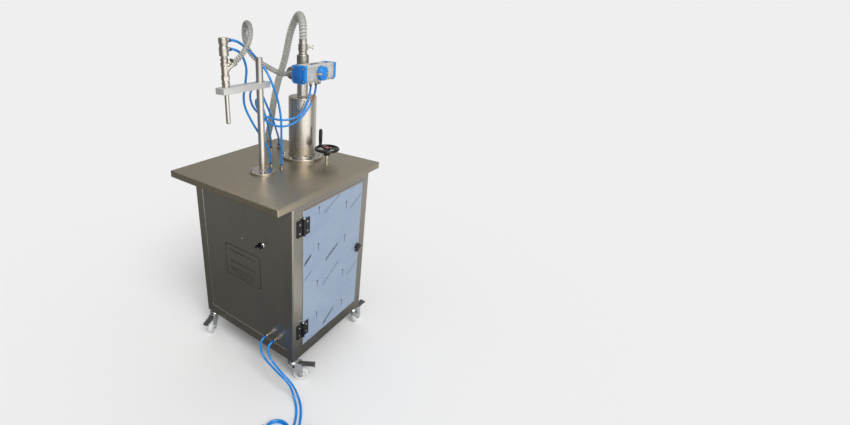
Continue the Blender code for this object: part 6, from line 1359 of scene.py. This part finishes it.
def actuator():
    """Extruded housing with grooves and holes, two end caps with bolts and domes, ports and silencer."""
    y0, y1 = 0.076, 0.235
    body = along_y(section(), y0, y1, 0.0008)
    grooves = [box(left, right, y0 - 0.003, y1 + 0.003, bottom, top) for left, right, bottom, top in (
        (0.0795, 0.084, 0.358, 0.3605), (0.0795, 0.084, 0.318, 0.3205), (0.038, 0.063, 0.367, 0.373),
        (0.017, 0.0215, 0.358, 0.3605))]
    holes = [rod(radius, (0.0780, hole_y, hole_z), (0.0850, hole_y, hole_z), 0, 28)
             for radius, places_y, places_z in ((0.0022, (0.090, 0.221), (0.3275, 0.3505)),
                                                (0.0018, (0.120, 0.194), (0.3245, 0.3535)))
             for hole_y in places_y for hole_z in places_z]
    stem_hole = rod(0.0070, (0.017, CYLINDER_Y, VALVE_Z), (0.085, CYLINDER_Y, VALVE_Z), 0, 40)
    add("actuator_housing", cut(body, *grooves, *holes, stem_hole), "aluminium", ("actuator_body",),
        angle=0.5)
    top_plate = box(0.0430, 0.0580, 0.1390, 0.1750, 0.3672, 0.3697, 0.0008)
    add("actuator_top_plate", top_plate, "black")
    gasket = together(along_y(section(-0.0006), y0 - 0.0004, y0 + 0.0004, 0),
                      along_y(section(-0.0006), y1 - 0.0004, y1 + 0.0004, 0))
    add("actuator_gaskets", gasket, "rubber")
    middle_x, middle_z = 0.0505, 0.339
    for name, seat, side in (("front", y0 - GAP, -1), ("rear", y1 + GAP, 1)):
        end = seat + side * 0.014
        low, high = sorted((seat, end))
        plate = along_y(section(0.001), low, high, 0.0016)
        pockets, bolts = [], []
        for step_x, step_z in ((-1, -1), (-1, 1), (1, -1), (1, 1)):
            bolt_x, bolt_z = middle_x + step_x * 0.0242, middle_z + step_z * 0.0205
            pockets.append(rod(0.0052, (bolt_x, end - side * 0.0022, bolt_z),
                               (bolt_x, end + side * 0.004, bolt_z), 0, 36))
            bolt = turned_shape(mm([(0, 0), (4, 0), (4, 4), (3.4, 4.7), (2, 4.7), (1.9, 3), (0, 3)]),
                                0.0004, 32)
            bolts.append(aimed(bolt, (0, side, 0), (bolt_x, end - side * 0.0024, bolt_z)))
        add("actuator_%s_plate" % name, cut(plate, *pockets), "blue", ("actuator_%s_cap" % name,), angle=0.5)
        add("actuator_%s_bolts" % name, together(*bolts), "bolt")
        wide, tall, corner = 0.0200, 0.0300, 0.0125
        outline = [(-wide, corner - tall), (corner - wide, -tall), (wide - corner, -tall),
                   (wide, corner - tall), (wide, tall - corner), (wide - corner, tall), (corner - wide, tall),
                   (-wide, tall - corner)]
        dome = together(slab(outline, -0.001, 0.0074, 0.0022, 4),
                        turned_shape(mm([(0, 6), (16.5, 6), (16.5, 7.6), (12, 9.3), (0, 10)]), 0.0016, 72))
        # The front dome takes the darker blue as painted shade on the side turned from the light; the rear
        # dome keeps the plain blue.
        look = "dark_blue_and_painted_shade" if side < 0 else "blue"
        add("actuator_%s_dome" % name, aimed(dome, (0, side, 0), (middle_x, end, middle_z)), look, angle=0.5)
    for number, fy in ((1, 0.135), (2, 0.167)):
        parts = together(hexagon(0.0072, 0, 0.0045, 0.0006),
                         turned_shape(mm([(0, 0), (6.2, 4), (6.2, 10.5), (5.6, 11.4), (4.2, 11.4),
                                          (4.2, 10.8), (0, 10.8)]), 0.0005, 40))
        add("actuator_fitting_%d" % number, aimed(parts, (0, 0, -1), (0.05, fy, 0.308)), "fitting")
        collet = ring_shape(mm([(4.2, 11), (5.3, 11), (5.5, 13.8), (5, 15.4), (4.3, 15.4)]), 0.0004, 40)
        add("actuator_collet_%d" % number, aimed(collet, (0, 0, -1), (0.05, fy, 0.308)), "gloss_black")
    rings = [(0, 0)]
    for i in range(5):
        h = 0.0015 + i * 0.0026
        rings += [(0.0062, h), (0.0062, h + 0.0016), (0.0052, h + 0.0020), (0.0052, h + 0.0024)]
    rings += mm([(5.8, 14.6), (4.6, 15.5), (0, 15.5)])
    add("actuator_silencer", aimed(turned_shape(rings, 0.0003, 40), (0, 0, -1), (0.05, 0.187, 0.308)),
        "fitting")


def indicator():
    """Blue indicator with a stepped face, two yellow marks, and the plug and stem behind it."""
    y, z = CYLINDER_Y, VALVE_Z
    seat = 0.0813
    disc = mm([(0, 0), (23.5, 0), (25, 1.4), (25, 13.8), (23.6, 16), (18.6, 16), (18, 15), (15, 15),
               (14.4, 16), (13, 16.2), (12.6, 18.6), (11.2, 19), (0, 19)])
    add("indicator_disc", aimed(turned_shape(disc, 0.0008, 88), (1, 0, 0), (seat, y, z)), "blue",
        ("position_indicator",), "indicator")
    plug = aimed(turned_shape([(0, -0.032), (0.017, -0.032), (0.017, 0.015), (0.006, 0.015),
                               (0.006, seat + 0.001), (0, seat + 0.001)], 0.0006, 56), (1, 0, 0), (0, y, z))
    through = rod(0.010, (0, y, z - 0.02), (0, y, z + 0.02), 0, 48)
    side = rod(0.009, (0, y, z), (0, y + 0.02, z), 0, 48)
    add("indicator_plug", cut(plug, through, side), "turned", body="indicator")
    marks = []
    for side in (-1, 1):
        # on the face's rim, down the flank, over the edge between them and inwards on the face
        for low, high, away, half, reach, edge in ((0.0158, 0.0166, 0.0240, 0.0022, 0.0030, 0.0004),
                                                   (0.0020, 0.0136, 0.0249, 0.0006, 0.0034, 0.0003),
                                                   (0.0128, 0.0160, 0.0243, 0.0007, 0.0032, 0.0003),
                                                   (0.0157, 0.0164, 0.0195, 0.0045, 0.0026, 0.0003)):
            marks.append(box(low, high, side * away - half, side * away + half, -reach, reach, edge, 2))
    add("indicator_marks", moved(together(*marks), seat, y, z), "mark", body="indicator")
    ring = ring_shape(mm([(23.5, 0), (26.2, 0), (26.2, 1.1), (23.5, 1.1)]), 0.0004, 88)
    add("indicator_base", aimed(ring, (1, 0, 0), (0.0809, y, z)), "dark_blue_and_painted_shade")


def handwheel():
    """Rim, spokes and hub in one moulding, the spinning crank grip, and the threaded spindle."""
    x, y = WHEEL_X, WHEEL_Y
    rim = []
    for i in range(24):
        a = 2 * math.pi * i / 24
        rim.append((CRANK_RADIUS + 0.006 * math.cos(a), 0.058 + 0.0056 * math.sin(a)))
    wheel = [lathe(rim, 96, True)]
    wheel.append(ring_shape(mm([(6.2, 32), (10.5, 32), (13, 35), (13, 60), (11.8, 64), (8, 64), (7.8, 63),
                                (6.2, 63)]), 0.001, 64))
    for i in range(3):
        angle = CRANK_HEADING + 2 * math.pi * i / 3
        outline = mm([(11, -7.8), (23, -5.6), (40, -7.2), (40, 7.2), (23, 5.6), (11, 7.8)])
        wheel.append(turned(slab(outline, 0.0546, 0.0612, 0.0020, 4), angle))
    pin_x, pin_y = CRANK_RADIUS * math.cos(CRANK_HEADING), CRANK_RADIUS * math.sin(CRANK_HEADING)
    foot = turned_shape(mm([(0, 56), (7.4, 56), (6.6, 64), (6, 66.7), (0, 66.7)]), 0.0007, 40)
    wheel.append(moved(foot, pin_x, pin_y))
    add("handwheel_rim", moved(together(*wheel), x, y), "gloss_black", ("handwheel",), "stroke_handwheel")
    pin = rod(0.0030, (pin_x, pin_y, 0.0600), (pin_x, pin_y, 0.1250), 0.0004, 32)
    add("crank_pin", moved(pin, x, y), "turned", body="stroke_handwheel", slot="zinc_steel")
    cap = turned_shape(mm([(0, 62.2), (7.9, 62.2), (7.9, 63.8), (6.2, 65), (0, 65.4)]), 0.0007, 48)
    add("handwheel_cap", moved(cap, x, y), "orange", body="stroke_handwheel")
    grip = ring_shape(mm([(3.3, 125.8), (3.3, 67), (6, 67), (7, 70), (6.4, 74), (7.2, 83), (7.5, 100),
                          (7.2, 118), (6.2, 125), (4.5, 127)]), 0.0016, 56, 5)
    end = turned_shape(mm([(0, 125.8), (4.4, 125.8), (4.6, 126.8), (0, 127)]), 0.0003, 40)
    add("crank_grip", moved(together(grip, end), x + pin_x, y + pin_y), "gloss_black", ("crank_handle",),
        "crank")
    spindle = turned_shape(mm([(0, -236), (5, -236), (6, -234.8), (6, 45.5), (0, 45.5)]), 0.0004, 48)
    add("spindle_stem", moved(spindle, x, y), "polished", ("adjusting_spindle",), "stroke_handwheel")
    thread = helix_about([(x, y, -0.230), (x, y, -0.030)], 0.0058, 0.0040, 0.35)
    add("spindle_thread", sweep(thread, lambda r, a: 0.0006, 6), "turned", body="stroke_handwheel", angle=0)


looks = make_looks()
make_camera()
make_sky()
make_floor()
make_lamp()
suction_hose()
outlet_hose()
air_tubes()
supply_tubes()
table()
cabinet()
door()
selector()
inlets()
casters()
post()
arm()
nozzle()
cylinder()
valve()
couplings()
actuator()
indicator()
handwheel()
